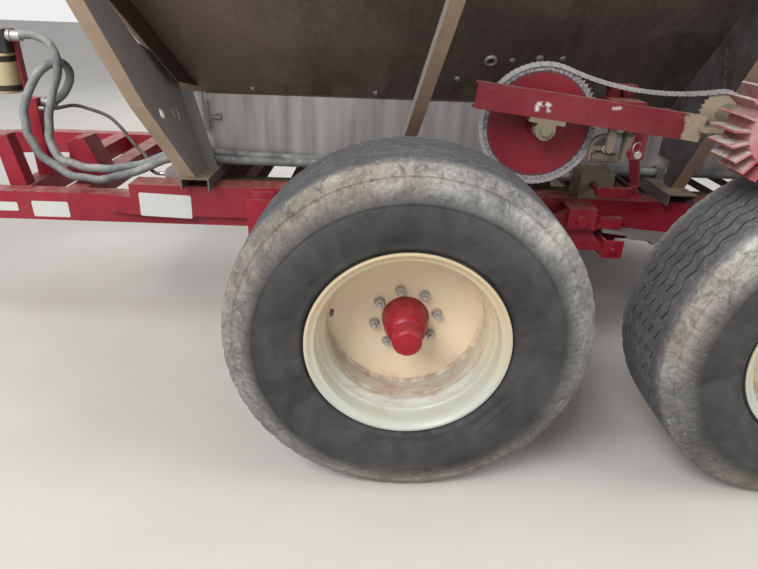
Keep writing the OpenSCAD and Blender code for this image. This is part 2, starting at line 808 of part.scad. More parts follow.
// A child put at distance d along the conveyor's loop, with its own Z pointing out of the loop
module on_loop(d, straight) {
  turn = PI * conveyor_r;
  if (d < straight)
    translate([conveyor_rear_x + d, 0, loop_z + conveyor_r]) children();
  else if (d < straight + turn)
    translate([conveyor_front_x, 0, loop_z]) rotate([0, (d - straight) / conveyor_r * 180 / PI, 0])
      translate([0, 0, conveyor_r]) children();
  else if (d < 2 * straight + turn)
    translate([conveyor_front_x - (d - straight - turn), 0, loop_z - conveyor_r]) rotate([0, 180, 0])
      children();
  else
    translate([conveyor_rear_x, 0, loop_z])
      rotate([0, 180 + (d - 2 * straight - turn) / conveyor_r * 180 / PI, 0])
      translate([0, 0, conveyor_r]) children();
}

module conveyor_shafts() {
  color(STEEL)
    for (x = [conveyor_front_x, conveyor_rear_x])
      translate([x, 0, loop_z]) {
        rod_y(conveyor_shaft_d, 4 - beam_in_y, beam_in_y - 4);
        for (y = [-strand_y, strand_y])
          rod_y(2 * (conveyor_r - strand_t / 2 - seat_gap), y - 8, y + 8);
        for (s = [-1, 1]) on_side(s) shaft_bearing();
      }
}

// A bearing block bolted to the inner face of the long beam, drawn round the shaft
module shaft_bearing() {
  foot = loop_z - beam_top + 40;
  translate([-40, beam_in_y - 36, -foot]) cube([80, 36, foot - 20]);
  rod_y(conveyor_shaft_d + 24, beam_in_y - 36, beam_in_y - 6);
}

module feed_gate() {
  color(STAINLESS) {
    translate([gate_x, -gate_w / 2, gate_z]) cube([gate_t, gate_w, gate_h]);
    translate([gate_x - 30, -60, gate_z + gate_h - 60]) cube([30, 120, 60]);
    translate([gate_x - 15, 0, gate_z + gate_h]) cylinder(d = screw_d, h = gate_lift + 200);
  }
}

// Channels that hold the gate's edges, with a bar over them that its screw passes through
module gate_guides() {
  side_gap = 1;
  wall_x = hopper_rear_x - sheet_t;
  bar = 2 * (wall_x - gate_x + 15);
  color(STAINLESS)
    difference() {
      union() {
        for (s = [-1, 1])
          on_side(s)
            translate([gate_x - guide_t - side_gap, gate_w / 2 - guide_lip, gate_z])
              cube([wall_x - gate_x + guide_t + side_gap, guide_lip + guide_t + side_gap,
                guide_top - gate_z]);
        translate([gate_x - 15 - bar / 2, -gate_w / 2 - guide_t - side_gap, guide_top])
          cube([bar, gate_w + 2 * (guide_t + side_gap), bar]);
      }
      for (s = [-1, 1])
        on_side(s)
          translate([gate_x - side_gap, gate_w / 2 - guide_lip - eps, gate_z - eps])
            cube([gate_t + 2 * side_gap, guide_lip + side_gap + eps, guide_top - gate_z + eps]);
      translate([gate_x - 15, 0, guide_top - eps])
        cylinder(d = screw_d + 2 * bearing_play, h = bar + 2 * eps);
    }
}

// Drop posts under the long beams and a bar behind them for the two spinner motors
module spinner_frame() {
  low = spinner_arm_z - spinner_arm_h;
  post_x = rail_rear_x + 15;
  back = spinner_x - 60;
  color(RED) {
    for (s = [-1, 1])
      on_side(s) {
        translate([post_x, beam_in_y, low]) cube([80, beam_w, beam_z - low]);
        translate([back, beam_in_y, low]) cube([post_x - back, beam_w, spinner_arm_h]);
      }
    translate([back, -beam_in_y, low]) cube([120, 2 * beam_in_y, spinner_arm_h]);
  }
}

// One hydraulic motor under each disc, bored for the disc's shaft
module spinner_motors() {
  color(BLACK)
    for (s = [-1, 1])
      on_side(s)
        translate([spinner_x, spinner_gap / 2, spinner_arm_z])
          difference() {
            union() {
              translate([-motor_base / 2, -motor_base / 2, 0]) cube([motor_base, motor_base, motor_base_h]);
              translate([0, 0, motor_base_h]) cylinder(d = motor_d, h = motor_h - motor_base_h);
            }
            translate([0, 0, 30]) cylinder(d = spinner_shaft_d + 2 * bearing_play, h = motor_h);
          }
}

module spinner(s) {
  color(STAINLESS) on_side(s)
    translate([spinner_x, spinner_gap / 2, spinner_z]) {
      cylinder(d = spinner_d, h = disc_thick);
      translate([0, 0, 45 - motor_h]) cylinder(d = spinner_shaft_d, h = motor_h - 45 + eps);
      translate([0, 0, disc_thick]) cylinder(d = 90, h = 50);
      for (i = [0:fin_count - 1])
        rotate([0, 0, i * 360 / fin_count]) translate([0, 0, disc_thick]) linear_extrude(fin_h)
          polygon(fin_outline(6));
    }
}

// A fin of thickness t that curves back as it runs out from the disc's hub
function fin_outline(t) = let (n = 8, r0 = 40, r1 = spinner_d / 2 - 5)
  concat([for (i = [0:n]) fin_point(r0 + (r1 - r0) * i / n, 0)],
    [for (i = [n:-1:0]) fin_point(r0 + (r1 - r0) * i / n, t)]);
function fin_point(r, side) = let (a = 30 * pow(r / spinner_d, 2)) [r * cos(a) - side * sin(a),
  r * sin(a) + side * cos(a)];

// Side plates, a sloped back plate and a ridge that parts the stream over the two discs
module flow_divider() {
  front = hopper_rear_x - 260;
  back = conveyor_rear_x - 220;
  low = spinner_z + fin_h + 25;
  high = clear_z + 120;
  color(STAINLESS) {
    for (s = [-1, 1])
      on_side(s)
        along_y(band_y, band_y + 6, [[front, floor_z], [front, high], [back, high], [back, floor_z]]);
    along_y(-band_y, band_y, [[back, high], [back + 6, high], [back + 66, low], [back + 60, low]]);
    translate([back + 50, 0, 0])
      along_x(90, [[-120, low], [-112, low], [0, low + 90], [112, low], [120, low], [0, low + 98]]);
  }
}

// A canister under its head, which is bolted to the stand
module hydraulic_filter() {
  color(CREAM) translate([filter_x, filter_y, 0]) {
    translate([0, 0, filter_z]) cylinder(d = 104, h = 150);
    translate([-55, -40, filter_z + 150]) cube([110, 80, 90]);
  }
}

// Posts on the deck's crossmembers
module filter_stand() {
  back_x = filter_x - 55;
  color(RED) {
    translate([back_x - stand_s, filter_y - stand_s / 2, beam_top])
      cube([stand_s, stand_s, filter_z - 15 - beam_top]);
    translate([back_x - stand_plate_t, filter_y - 38, filter_z - 15])
      cube([stand_plate_t, stand_plate, stand_plate_h]);
    along_y(beam_in_y - stand_s, beam_in_y, [[deck_x[1] - 30, beam_top], [deck_x[1] + 40, beam_top],
      [deck_x[1] + 60, beam_top + lug_h], [deck_x[1] + 5, beam_top + lug_h]]);
  }
}

module valve_box() {
  color(RED) translate([deck_x[0], 0, beam_top])
    along_y(260, 380, [[-75, 0], [65, 0], [65, 150], [30, 172], [-5, 172]]);
}

// Directions along a point list, and the circle of n points about its point i
function unit(v) = v / norm(v);
function tangent(p, i) = unit(p[min(i + 1, len(p) - 1)] - p[max(i - 1, 0)]);
function frame_of(t) = let (a = unit(cross(abs(t[2]) > 0.9 ? [0, 1, 0] : [0, 0, 1], t))) [a, cross(t, a)];
function ring(p, i, d, n) = let (f = frame_of(tangent(p, i)))
  [for (k = [0:n - 1]) p[i] + d / 2 * (cos(360 * k / n) * f[0] + sin(360 * k / n) * f[1])];

// A point list swept into a closed tube with n sides
module swept(p, d, n) {
  points = [for (i = [0:len(p) - 1]) each ring(p, i, d, n)];
  last = (len(p) - 1) * n;
  sides = [for (i = [0:len(p) - 2]) for (k = [0:n - 1])
    [i * n + k, (i + 1) * n + k, (i + 1) * n + (k + 1) % n, i * n + (k + 1) % n]];
  polyhedron(points, concat([[for (k = [0:n - 1]) k]], sides, [[for (k = [n - 1:-1:0]) last + k]]));
}

// Routes of the hoses and lines, as [x, y, z], from the filter and the stand back to the spinner motors
hose_d = 32;
line_d = 14;
HOSES = [
  [[2204.7, 322, 1300], [2165, 322, 1300], [2130, 328, 1305], [2085, 340, 1303], [2035, 355, 1283],
    [2005, 375, 1240], [2005, 385, 1180],
    [2035, 392, 1110], [2065, 402, 1020], [2070, 425, 925], [2035, 445, 860], [1935, 458, 830],
    [1830, 460, 828],
    [1705, 455, 850], [1600, 445, 890], [1480, 430, 910], [1350, 425, 895], [900, 422, 880], [0, 422, 880],
    [-1250, 422, 880], [-1390, 424, 868], [-1500, 432, 790], [-1590, 434, 700], [-1700, 432, 628],
    [-1800, 425, 590],
    [-1950, 380, 568], [-2014, 345, 566]],
  [[2144.7, 286, 1050], [2110, 286, 1050], [2085, 272, 1062], [2055, 266, 1090], [2022, 270, 1140],
    [2012, 290, 1185], [2032, 320, 1210],
    [2085, 358, 1180], [2130, 385, 1110], [2158, 405, 1035], [2155, 420, 945], [2110, 440, 865],
    [1995, 458, 795],
    [1875, 470, 785], [1725, 478, 825], [1600, 470, 877], [1480, 455, 885], [1350, 461, 880], [900, 460, 876],
    [180, 466, 876], [40, 490, 872], [-9.7, 490, 872]]];
LINES = [
  [[2144.7, 320, 1030], [2110, 320, 1030], [2075, 316, 1032], [2020, 285, 1040], [1960, 278, 1026],
    [1890, 278, 1000], [1835, 292, 955],
    [1780, 325, 900], [1720, 370, 862], [1690, 430, 835], [1650, 466, 819], [1607.3, 468, 819]]];

module pressure_hoses() {
  color(BLACK) for (route = HOSES) swept(route, hose_d, 10);
}

module control_lines() {
  color(BLACK) for (route = LINES) swept(route, line_d, 8);
}

// Puts a child drawn in the drive arm's own frame, with the jackshaft at its origin and X to the rear
module on_arm() {
  translate([jack_x, 0, jack_z]) children();
}

// The arm: a channel with its web outside, and a seat at its rear end for the roller's bearings
module drive_arm() {
  seat_z = roller_z - bearing_h - 12;
  color(RED) {
    on_arm() rotate([0, -arm_slope, 0])
      translate([-arm_rear, 0, bearing_h])
        along_x(arm_rear + arm_front, [[arm_y, 0], [arm_y, arm_h], [arm_y - arm_flange, arm_h],
          [arm_y - arm_flange, arm_h - arm_t], [arm_y - arm_t, arm_h - arm_t], [arm_y - arm_t, arm_t],
          [arm_y - arm_flange, arm_t], [arm_y - arm_flange, 0]]);
    translate([roller_x - 90, chain_y + 30, seat_z]) cube([190, arm_y + 28 - chain_y - 30, 12]);
    arm_lug();
    chain_rest();
  }
}

// Two uprights and a cap on a plate that reaches from the arm's top under the chain to the chain's inner side
module chain_rest() {
  inner = chain_y - 62;
  wide = 33;
  low = jack_z + (arm_h + bearing_h) / cos(arm_slope) - (jack_x + 35) * tan(arm_slope);
  translate([-40, inner, low]) cube([95, arm_y - arm_flange + 20 - inner, 10]);
  for (x = [-36, 10]) translate([x, inner, low]) cube([wide, wide, jack_z + 122 - low]);
  translate([-40, inner - 5, jack_z + 120]) cube([95, wide + 10, 6]);
}

// A lug under the arm with the turnbuckle's pin
module arm_lug() {
  translate([link_head[0], 0, link_head[2]]) {
    rod_y(link_pin_d, link_head[1] - 12, arm_y);
    translate([-20, arm_y - 12, -15]) cube([40, 12, 85]);
  }
}

// The outline of a block for a shaft, seated h below or above its bore
module pillow_block(h, y0, y1) {
  difference() {
    union() {
      rod_y(62, y0, y1);
      translate([-55, y0, -h]) cube([110, y1 - y0, 14]);
      translate([-28, y0, -h]) cube([56, y1 - y0, h]);
    }
    rod_y(drive_shaft_d + 2 * bearing_play, y0 - eps, y1 + eps);
  }
}

module arm_bearings() {
  color(DUSTY) {
    on_arm() rotate([0, 180 - arm_slope, 0]) pillow_block(bearing_h, arm_y - arm_flange, arm_y);
    translate([roller_x, 0, roller_z]) {
      pillow_block(bearing_h, arm_y - 20 - block_w, arm_y - 20);
      pillow_block(bearing_h, arm_y - 5, arm_y - 5 + block_w);
    }
  }
}

// A toothed disc whose pitch radius is r
module sprocket(teeth, r, y0, y1) {
  roller = 10.16;
  rotate([-90, 0, 0]) translate([0, 0, y0])
    linear_extrude(y1 - y0)
      polygon([for (i = [0:teeth - 1]) each
        [for (k = [0:3]) let (q = [0, 0.32, 0.5, 0.68][k], rr =
          [r - roller / 2, r - 1, r + tip_rise, r - 1][k])
          [rr * cos((i + q) * 360 / teeth), rr * sin((i + q) * 360 / teeth)]]]);
}

// Points of an arc about point c with radius r, from angle a to angle b in n steps
function arc(c, r, a, b, n) = [for (i = [0:n]) c + r * [cos(a + (b - a) * i / n), sin(a + (b - a) * i / n)]];

// The chain's route in the plane of the sprockets, with the large sprocket at its origin and the small one
// behind it: its upper run sags in an arc of radius sag_r, and its lower run passes over the idler
small_c = [-drive_c, 0];
idler_c = [-207, -82];
idler_r = 26;
idler_out = idler_r + chain_half + seat_gap;
sag_r = 950;
sag_x = (pow(sag_r + large_r, 2) - pow(sag_r + small_r, 2) + drive_c * drive_c) / (2 * drive_c);
sag_c = [-sag_x, sqrt(pow(sag_r + large_r, 2) - sag_x * sag_x)];
function angle(v) = atan2(v[1], v[0]);
leave_top = angle(sag_c);
meet_top = angle(sag_c - small_c);
leave_low = angle(idler_c) + acos((large_r + idler_out) / norm(idler_c));
meet_low = angle(idler_c - small_c) + 360 - acos((small_r + idler_out) / norm(idler_c - small_c));

// The route's closed outline, grown by g
function chain_outline(g) = concat(
  arc([0, 0], large_r + g, leave_low, leave_top, 44),
  arc(sag_c, sag_r - g, leave_top + 180, meet_top + 180, 12),
  arc(small_c, small_r + g, meet_top, meet_low, 16),
  arc(idler_c, idler_out - g, meet_low - 180, leave_low + 180, 6));

// The chain as a closed channel that straddles the teeth
module drive_chain() {
  half_w = chain_w / 2 + chain_plate;
  color(STEEL)
    on_arm() rotate([0, drive_angle, 0]) translate([0, chain_y, 0]) rotate([90, 0, 0])
      difference() {
        translate([0, 0, -half_w]) linear_extrude(2 * half_w) difference() {
          polygon(chain_outline(chain_half));
          polygon(chain_outline(-chain_half));
        }
        translate([0, 0, -chain_w / 2]) linear_extrude(chain_w) polygon(chain_outline(tip_rise + 0.6));
      }
}

// A point of the chain's plane as [x, z], measured from the jackshaft
function off_jack(c) = [c[0] * cos(drive_angle) + c[1] * sin(drive_angle),
  c[1] * cos(drive_angle) - c[0] * sin(drive_angle)];

// A toothless idler under the chain, hung from the arm and pulled to the rear by a coil spring
module chain_tensioner() {
  at = off_jack(idler_c);
  spring_at = [at[0] + 45, chain_y + 30, at[1] - 30];
  spring_len = 92;
  wire = 5;
  tab = 6;
  lap = wire / 2 + seat_gap;
  hook_x = spring_at[0] - spring_len - lap - tab;
  flange_z = bearing_h / cos(arm_slope) + (at[0] - 12) * tan(arm_slope) - seat_gap;
  hook_z = bearing_h / cos(arm_slope) + hook_x * tan(arm_slope) - seat_gap;
  color(STEEL) on_arm() {
    translate([at[0], 0, at[1]]) {
      rod_y(2 * idler_r, chain_y - 5, chain_y + 5);
      rod_y(16, chain_y - 5, arm_y - 20);
    }
    translate([at[0] - 12, arm_y - 34, at[1]]) cube([24, 14, flange_z - at[1]]);
    translate([at[0], spring_at[1] - 4, at[1] - 7]) cube([spring_at[0] + lap + tab - at[0], 8, 14]);
    translate([spring_at[0] + lap, spring_at[1] - 4, spring_at[2] - 8])
      cube([tab, 22, at[1] + 7 - spring_at[2] + 8]);
    translate([hook_x, spring_at[1] - 4, spring_at[2] - 8])
      cube([tab, arm_y - arm_flange + 14 - spring_at[1], hook_z - spring_at[2] + 8]);
    translate(spring_at) coil(spring_len, 32, wire, 12);
  }
}

// A coil spring along X to the rear: n turns of wire w thick, d over the wire
module coil(length, d, w, n) {
  steps = 12;
  r = (d - w) / 2;
  at = [for (i = [0:n * steps]) [-length * i / (n * steps), 360 * i / steps]];
  section = [for (k = [0:5]) w / 2 * [cos(60 * k), sin(60 * k)]];
  points = [for (a = at) for (q = section) [a[0] + q[0], (r + q[1]) * cos(a[1]), (r + q[1]) * sin(a[1])]];
  last = n * steps * 6;
  sides = [for (i = [0:n * steps - 1]) for (k = [0:5])
    [i * 6 + k, (i + 1) * 6 + k, (i + 1) * 6 + (k + 1) % 6, i * 6 + (k + 1) % 6]];
  polyhedron(points, concat([[for (k = [0:5]) k]], sides, [[for (k = [5:-1:0]) last + k]]));
}

// A turnbuckle from a lug under the arm down to the lever. Its tube and its rod start inside the eyes,
// whose length across the machine limits how far from the eyes' middles that is.
module lift_link() {
  d = link_foot - link_head;
  tube_from = min(0.055, link_reach / abs(d[1]));
  rod_to = min(0.05, link_run / abs(d[1]));
  color(RED) {
    translate([link_head[0], 0, link_head[2]])
      difference() {
        rod_y(40, link_head[1] - 10, link_head[1] + 10);
        rod_y(link_pin_d + 2 * bearing_play, link_head[1] - 11, link_head[1] + 11);
      }
    strut(link_head + tube_from * d, link_head + 0.66 * d, 26, 26);
    bar(link_head + 0.65 * d, link_head + 0.69 * d, 34);
    bar(link_head + 0.68 * d, link_foot - rod_to * d, 16);
    translate([link_foot[0], 0, link_foot[2]]) rod_y(36, link_foot[1] - 8, link_foot[1] + 8);
  }
}

// A steel drum with rows of cleats, on a shaft that also holds the small sprocket
module drive_roller() {
  drum_r = roller_d / 2 - cleat_h;
  color(RED) translate([roller_x, 0, roller_z]) {
    rod_y(2 * drum_r, roller_y, roller_y + roller_len);
    rod_y(drive_shaft_d, chain_y - 30, roller_y + roller_len + 20);
    for (i = [0:cleat_rows - 1])
      rotate([0, i * 360 / cleat_rows, 0])
        translate([-cleat_t / 2, roller_y, drum_r - 2]) cube([cleat_t, roller_len, cleat_h + 2]);
    rotate([0, drive_angle, 0]) sprocket(small_teeth, small_r, chain_y - tooth_w / 2, chain_y + tooth_w / 2);
  }
}

module large_sprocket() {
  color(RED) on_arm() {
    difference() {
      union() {
        rotate([0, drive_angle, 0])
          sprocket(large_teeth, large_r, chain_y - tooth_w / 2, chain_y + tooth_w / 2);
        rod_y(70, chain_y - 30, chain_y + 20);
      }
      rod_y(drive_shaft_d + 2 * bearing_play, chain_y - 30 - eps, chain_y + 20 + eps);
    }
  }
}

// The shaft on a post that stands on the rail
module jackshaft() {
  post_y = rail_y - 50;
  color(STEEL) {
    on_arm() rod_y(drive_shaft_d, post_y - 20, arm_y + 12);
    translate([jack_x - 35, post_y, rail_top]) cube([70, 40, jack_z + 40 - rail_top]);
  }
}

module lift_lever() {
  reach = lever_pivot[0] - link_foot[0];
  color(RED) translate([lever_pivot[0], 0, lever_pivot[2]]) {
    rod_y(link_pin_d + 8, rail_y - 110, lever_y + 20);
    rod_y(44, lever_y, lever_y + 20);
    translate([-reach - 14, lever_y, -lever_h / 2]) cube([reach + 14, 20, lever_h]);
  }
}

// A cast block on the rail that turns the lever's shaft
module lift_gearbox() {
  color(DUSTY)
    difference() {
      union() {
        translate([lever_pivot[0] - 80, rail_y - 130, rail_top]) cube([130, 115, gearbox_h]);
        for (x = [-65, 35]) for (y = [-115, -72, -30])
          translate([lever_pivot[0] + x, rail_y + y, rail_top + gearbox_h]) cylinder(d = 18, h = 10, $fn = 6);
      }
      translate([lever_pivot[0], 0, lever_pivot[2]])
        rod_y(link_pin_d + 8 + 2 * bearing_play, rail_y - 120, rail_y);
    }
}

// Outer half of a tyre's section from its bead to the middle of its tread, as [radius, y]
module tyre() {
  r0 = bead_d / 2 + 2;
  r1 = tyre_od / 2;
  h = tyre_w / 2;
  th = tread_w / 2;
  bead = rim_w / 2 - 15;
  color(RUBBER) turned_y(concat(
    [[r0, bead], [r0 + 20, bead], [r0 + 60, h - 18], [r0 + 120, h], [r1 - 90, h - 10], [r1 - 40, th + 12],
      [r1 - 12, th], [r1, th - 30]],
    [[r1, 30 - th], [r1 - 12, -th], [r1 - 40, -th - 12], [r1 - 90, 10 - h], [r0 + 120, -h],
      [r0 + 60, 18 - h], [r0 + 20, -bead],
      [r0, -bead]],
    [[r0, 40 - bead], [r0 + 80, 40 - h], [r1 - 60, 50 - h], [r1 - 35, 0], [r1 - 60, h - 50],
      [r0 + 80, h - 40],
      [r0, bead - 40]]));
}

// Where a wheel stands: f is 1 for front and -1 for rear, s is its side
module at_wheel(f, s) {
  translate([f * wheel_base / 2, 0, axle_z]) on_side(s) translate([0, wheel_track / 2, 0]) children();
}

// A child put at each wheel nut
module on_nut_circle() {
  for (i = [0:nut_count - 1]) rotate([0, (i + 0.5) * 360 / nut_count, 0]) translate([nut_circle / 2, 0, 0])
    children();
}

module rim() {
  r = bead_d / 2;
  w = rim_w / 2;
  color(CREAM) {
    turned_y([[r + 20, w], [r + 20, w - 6], [r + 2, w - 12], [r, w - 60], [r - 24, w - 90], [r - 24, 60 - w],
      [r, 40 - w], [r + 2, 12 - w], [r + 20, 6 - w], [r + 20, -w], [r + 12, -w], [r - 8, 12 - w],
      [r - 10, 44 - w],
      [r - 34, 64 - w], [r - 34, w - 94], [r - 10, w - 64], [r - 8, w - 12], [r + 12, w]]);
    difference() {
      rod_y(2 * (r - 33), disc_at - disc_t, disc_at);
      rod_y(hub_d - 24, disc_at - disc_t - eps, disc_at + eps);
      on_nut_circle() rod_y(stud_d + 3, disc_at - disc_t - eps, disc_at + eps);
    }
  }
}

module hub() {
  color(RED) {
    difference() {
      turned_y([[0, disc_at - 60], [hub_d / 2 + 45, disc_at - 60], [hub_d / 2 + 45, disc_at - disc_t],
        [hub_d / 2 - 13, disc_at - disc_t], [hub_d / 2 - 13, disc_at], [hub_d / 2, disc_at],
        [hub_d / 2 - 6, disc_at + hub_out * 0.3], [hub_cap_d / 2 + 8, disc_at + hub_out * 0.62],
        [hub_cap_d / 2, disc_at + hub_out * 0.66], [hub_cap_d / 2, disc_at + hub_out - 14],
        [hub_cap_d / 2 - 4, disc_at + hub_out - 6], [hub_cap_d / 2 - 12, disc_at + hub_out - 1],
        [0, disc_at + hub_out]]);
      rod_y(spindle_d + 2 * bearing_play, disc_at - 60 - eps, disc_at + 60 + 5);
    }
    on_nut_circle() {
      rod_y(stud_d, disc_at - disc_t - 5, disc_at + 40);
      rod_y(stud_d + 20, disc_at + seat_gap, disc_at + 6);
      translate([0, disc_at + seat_gap, 0]) rotate([-90, 0, 0]) cylinder(d = stud_d + 16, h = 27, $fn = 6);
    }
  }
}

placed() rail(1);  // rail_left
placed() rail(-1);  // rail_right
placed() crossmembers();
placed() cross_sills();
placed() drawbar(1);  // drawbar_left
placed() drawbar(-1);  // drawbar_right
placed() hitch_clevis();
placed() parking_jack();
placed() axle(1);  // axle_front
placed() axle(-1);  // axle_rear
placed() leaf_springs();
placed() equalisers();
placed() hopper_side(1);  // hopper_left
placed() hopper_side(-1);  // hopper_right
placed() hopper_front();
placed() hopper_rear();
placed() hopper_rim();
placed() supports(1);  // supports_left
placed() supports(-1);  // supports_right
placed() conveyor_floor();
placed() conveyor_chain();
placed() conveyor_shafts();
placed() feed_gate();
placed() gate_guides();
placed() spinner_frame();
placed() spinner_motors();
placed() spinner(1);  // spinner_left
placed() spinner(-1);  // spinner_right
placed() flow_divider();
placed() hydraulic_filter();
placed() filter_stand();
placed() valve_box();
placed() pressure_hoses();
placed() control_lines();
placed() drive_arm();
placed() arm_bearings();
placed() drive_chain();
placed() chain_tensioner();
placed() lift_link();
placed() drive_roller();
placed() large_sprocket();
placed() jackshaft();
placed() lift_lever();
placed() lift_gearbox();
placed() at_wheel(1, 1) tyre();  // tyre_front_left
placed() at_wheel(1, -1) tyre();  // tyre_front_right
placed() at_wheel(-1, 1) tyre();  // tyre_rear_left
placed() at_wheel(-1, -1) tyre();  // tyre_rear_right
placed() at_wheel(1, 1) rim();  // rim_front_left
placed() at_wheel(1, -1) rim();  // rim_front_right
placed() at_wheel(-1, 1) rim();  // rim_rear_left
placed() at_wheel(-1, -1) rim();  // rim_rear_right
placed() at_wheel(1, 1) hub();  // hub_front_left
placed() at_wheel(1, -1) hub();  // hub_front_right
placed() at_wheel(-1, 1) hub();  // hub_rear_left
placed() at_wheel(-1, -1) hub();  // hub_rear_right
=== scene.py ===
"""Looks of a tandem-axle manure and litter spreader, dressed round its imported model.

Lengths are in metres. X points forward, Y to the machine's left and Z up. Every sub-assembly is a
class with its sizes as fields, and every finish is a frozen dataclass that builds its own material.
"""

import json
import logging
import math
from dataclasses import dataclass
from enum import Enum

import bmesh
import bpy
import numpy as np
from mathutils import Matrix, Vector


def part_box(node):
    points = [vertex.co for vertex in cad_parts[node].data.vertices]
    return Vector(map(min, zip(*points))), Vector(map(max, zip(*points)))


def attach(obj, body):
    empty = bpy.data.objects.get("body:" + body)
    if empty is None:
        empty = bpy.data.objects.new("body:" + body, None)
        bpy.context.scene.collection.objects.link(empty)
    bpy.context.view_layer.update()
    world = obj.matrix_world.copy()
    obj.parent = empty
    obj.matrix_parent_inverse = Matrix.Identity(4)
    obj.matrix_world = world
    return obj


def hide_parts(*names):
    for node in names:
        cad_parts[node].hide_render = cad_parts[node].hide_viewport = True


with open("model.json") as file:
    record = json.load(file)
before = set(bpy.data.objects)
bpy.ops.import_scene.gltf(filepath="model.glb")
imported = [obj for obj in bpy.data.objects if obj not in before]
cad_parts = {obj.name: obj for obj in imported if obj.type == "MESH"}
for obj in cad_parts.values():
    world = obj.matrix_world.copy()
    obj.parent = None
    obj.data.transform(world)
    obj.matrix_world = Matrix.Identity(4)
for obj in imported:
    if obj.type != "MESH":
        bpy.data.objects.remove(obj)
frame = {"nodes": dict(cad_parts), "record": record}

LOG = logging.getLogger("spreader")
TAU = 2 * math.pi
# Where the middle between the two axles lies along X
MIDDLE = -0.98

Socket = bpy.types.NodeSocket
Material = bpy.types.Material
Mesh = bpy.types.Mesh
Colour = tuple[float, float, float]
Point = tuple[float, float, float]
Pair = tuple[float, float]
Profile = tuple[Pair, ...]
OUTWARD: Point = (0, 1, 0)


# Shapes: points and faces as whole arrays


@dataclass
class Shape:
    """A bare mesh: its points, and its faces as arrays of faces with one number of corners each."""

    points: np.ndarray
    faces: list[np.ndarray]

    def moved(self, offset: Point) -> "Shape":
        """The shape carried along offset."""
        return Shape(self.points + np.asarray(offset, float), self.faces)

    def turned(self, axis: Point, angle: float) -> "Shape":
        """The shape turned about the origin by an angle in radians, by the right-hand rule."""
        turn = np.array(Matrix.Rotation(angle, 3, Vector(axis)))
        return Shape(self.points @ turn.T, self.faces)

    def copies(self, turns: np.ndarray, places: np.ndarray) -> "Shape":
        """The shape repeated: copy k is turned by matrix turns[k] and moved to places[k].

        Args:
            turns: Rotation matrices, as (copies, 3, 3).
            places: Offsets, as (copies, 3).

        Returns:
            One shape that holds all the copies.
        """
        count = len(places)
        points = np.einsum("kij,nj->kni", turns, self.points) + places[:, None, :]
        steps = (np.arange(count) * len(self.points))[:, None, None]
        faces = [(f[None] + steps).reshape(-1, f.shape[1]) for f in self.faces]
        return Shape(points.reshape(-1, 3), faces)

    def on(self, places: list[Point], aims: list[Point]) -> "Shape":
        """The shape repeated at places, each copy with its own Y turned to the direction in aims."""
        return self.copies(turns_to(np.array(aims, float)), np.array(places, float))

    def mirrored(self) -> "Shape":
        """The shape seen in a mirror in the plane Y = 0, with its faces turned to point outwards again."""
        return Shape(self.points * [1, -1, 1], [f[:, ::-1] for f in self.faces])


def heading(v: np.ndarray) -> float:
    """The angle of a flat vector."""
    return math.atan2(v[1], v[0])


def turns_to(aims: np.ndarray) -> np.ndarray:
    """Matrices that turn +Y to each direction d: 1 + K + K K / (1 + y.d), where K crosses with y x d."""
    d = aims / np.linalg.norm(aims, axis=1, keepdims=True)
    cross = np.cross(np.array([0.0, 1.0, 0.0]), d)
    k = np.zeros((len(d), 3, 3))
    k[:, 0, 1], k[:, 0, 2], k[:, 1, 2] = -cross[:, 2], cross[:, 1], -cross[:, 0]
    k -= k.transpose(0, 2, 1)
    along = d[:, 1][:, None, None]
    turns = np.eye(3) + k + k @ k / np.maximum(1 + along, 1e-9)
    turns[d[:, 1] < -1 + 1e-9] = np.diag([-1.0, -1.0, 1.0])
    return turns


def joined(*shapes: Shape) -> Shape:
    """All shapes as one, with the numbers of their points carried on."""
    faces: list[np.ndarray] = []
    start = 0
    for shape in shapes:
        faces += [f + start for f in shape.faces]
        start += len(shape.points)
    return Shape(np.concatenate([s.points for s in shapes]), faces)


def both_sides(shape: Shape) -> Shape:
    """The shape and its mirror image on the machine's other side."""
    return joined(shape, shape.mirrored())


def grid(points: np.ndarray, close_u: bool = False, close_v: bool = False, caps: bool = False) -> Shape:
    """A surface through a grid of points.

    Args:
        points: The grid, as (u, v, 3).
        close_u: Whether the last row joins the first.
        close_v: Whether the last column joins the first.
        caps: Whether the first and the last row are each closed by one face.

    Returns:
        The surface, one four-cornered face for each cell of the grid.
    """
    nu, nv = points.shape[:2]
    index = np.arange(nu * nv).reshape(nu, nv)
    a = index if close_u else index[:-1]
    b = np.roll(index, -1, 0) if close_u else index[1:]
    columns = slice(None) if close_v else slice(None, -1)
    quads = np.stack(
        [a[:, columns], b[:, columns], np.roll(b, -1, 1)[:, columns], np.roll(a, -1, 1)[:, columns]], -1
    ).reshape(-1, 4)
    faces = [quads]
    if caps:
        faces += [index[:1], index[-1:, ::-1]]
    return Shape(points.reshape(-1, 3), faces)


def revolved(profile: Profile | list[Pair] | np.ndarray, segments: int = 48) -> Shape:
    """A closed outline turned about Y: point (r, y) goes to (r cos a, y, r sin a) for angles a all round."""
    outline = np.asarray(profile, float)
    angle = (np.arange(segments) * TAU / segments)[:, None]
    y = np.broadcast_to(outline[:, 1][None], (segments, len(outline)))
    points = np.stack([outline[:, 0] * np.cos(angle), y, outline[:, 0] * np.sin(angle)], -1)
    return grid(points, close_u=True, close_v=True)


def rod(radius: float, low: float, high: float, segments: int) -> Shape:
    """A round rod about Y from low to high."""
    return revolved([(0, low), (radius, low), (radius, high), (0, high)], segments)


def upright(shape: Shape) -> Shape:
    """The shape with its own Y turned to Z."""
    return Shape(shape.points @ np.array([[1, 0, 0], [0, 0, 1], [0, -1, 0]], float), shape.faces)


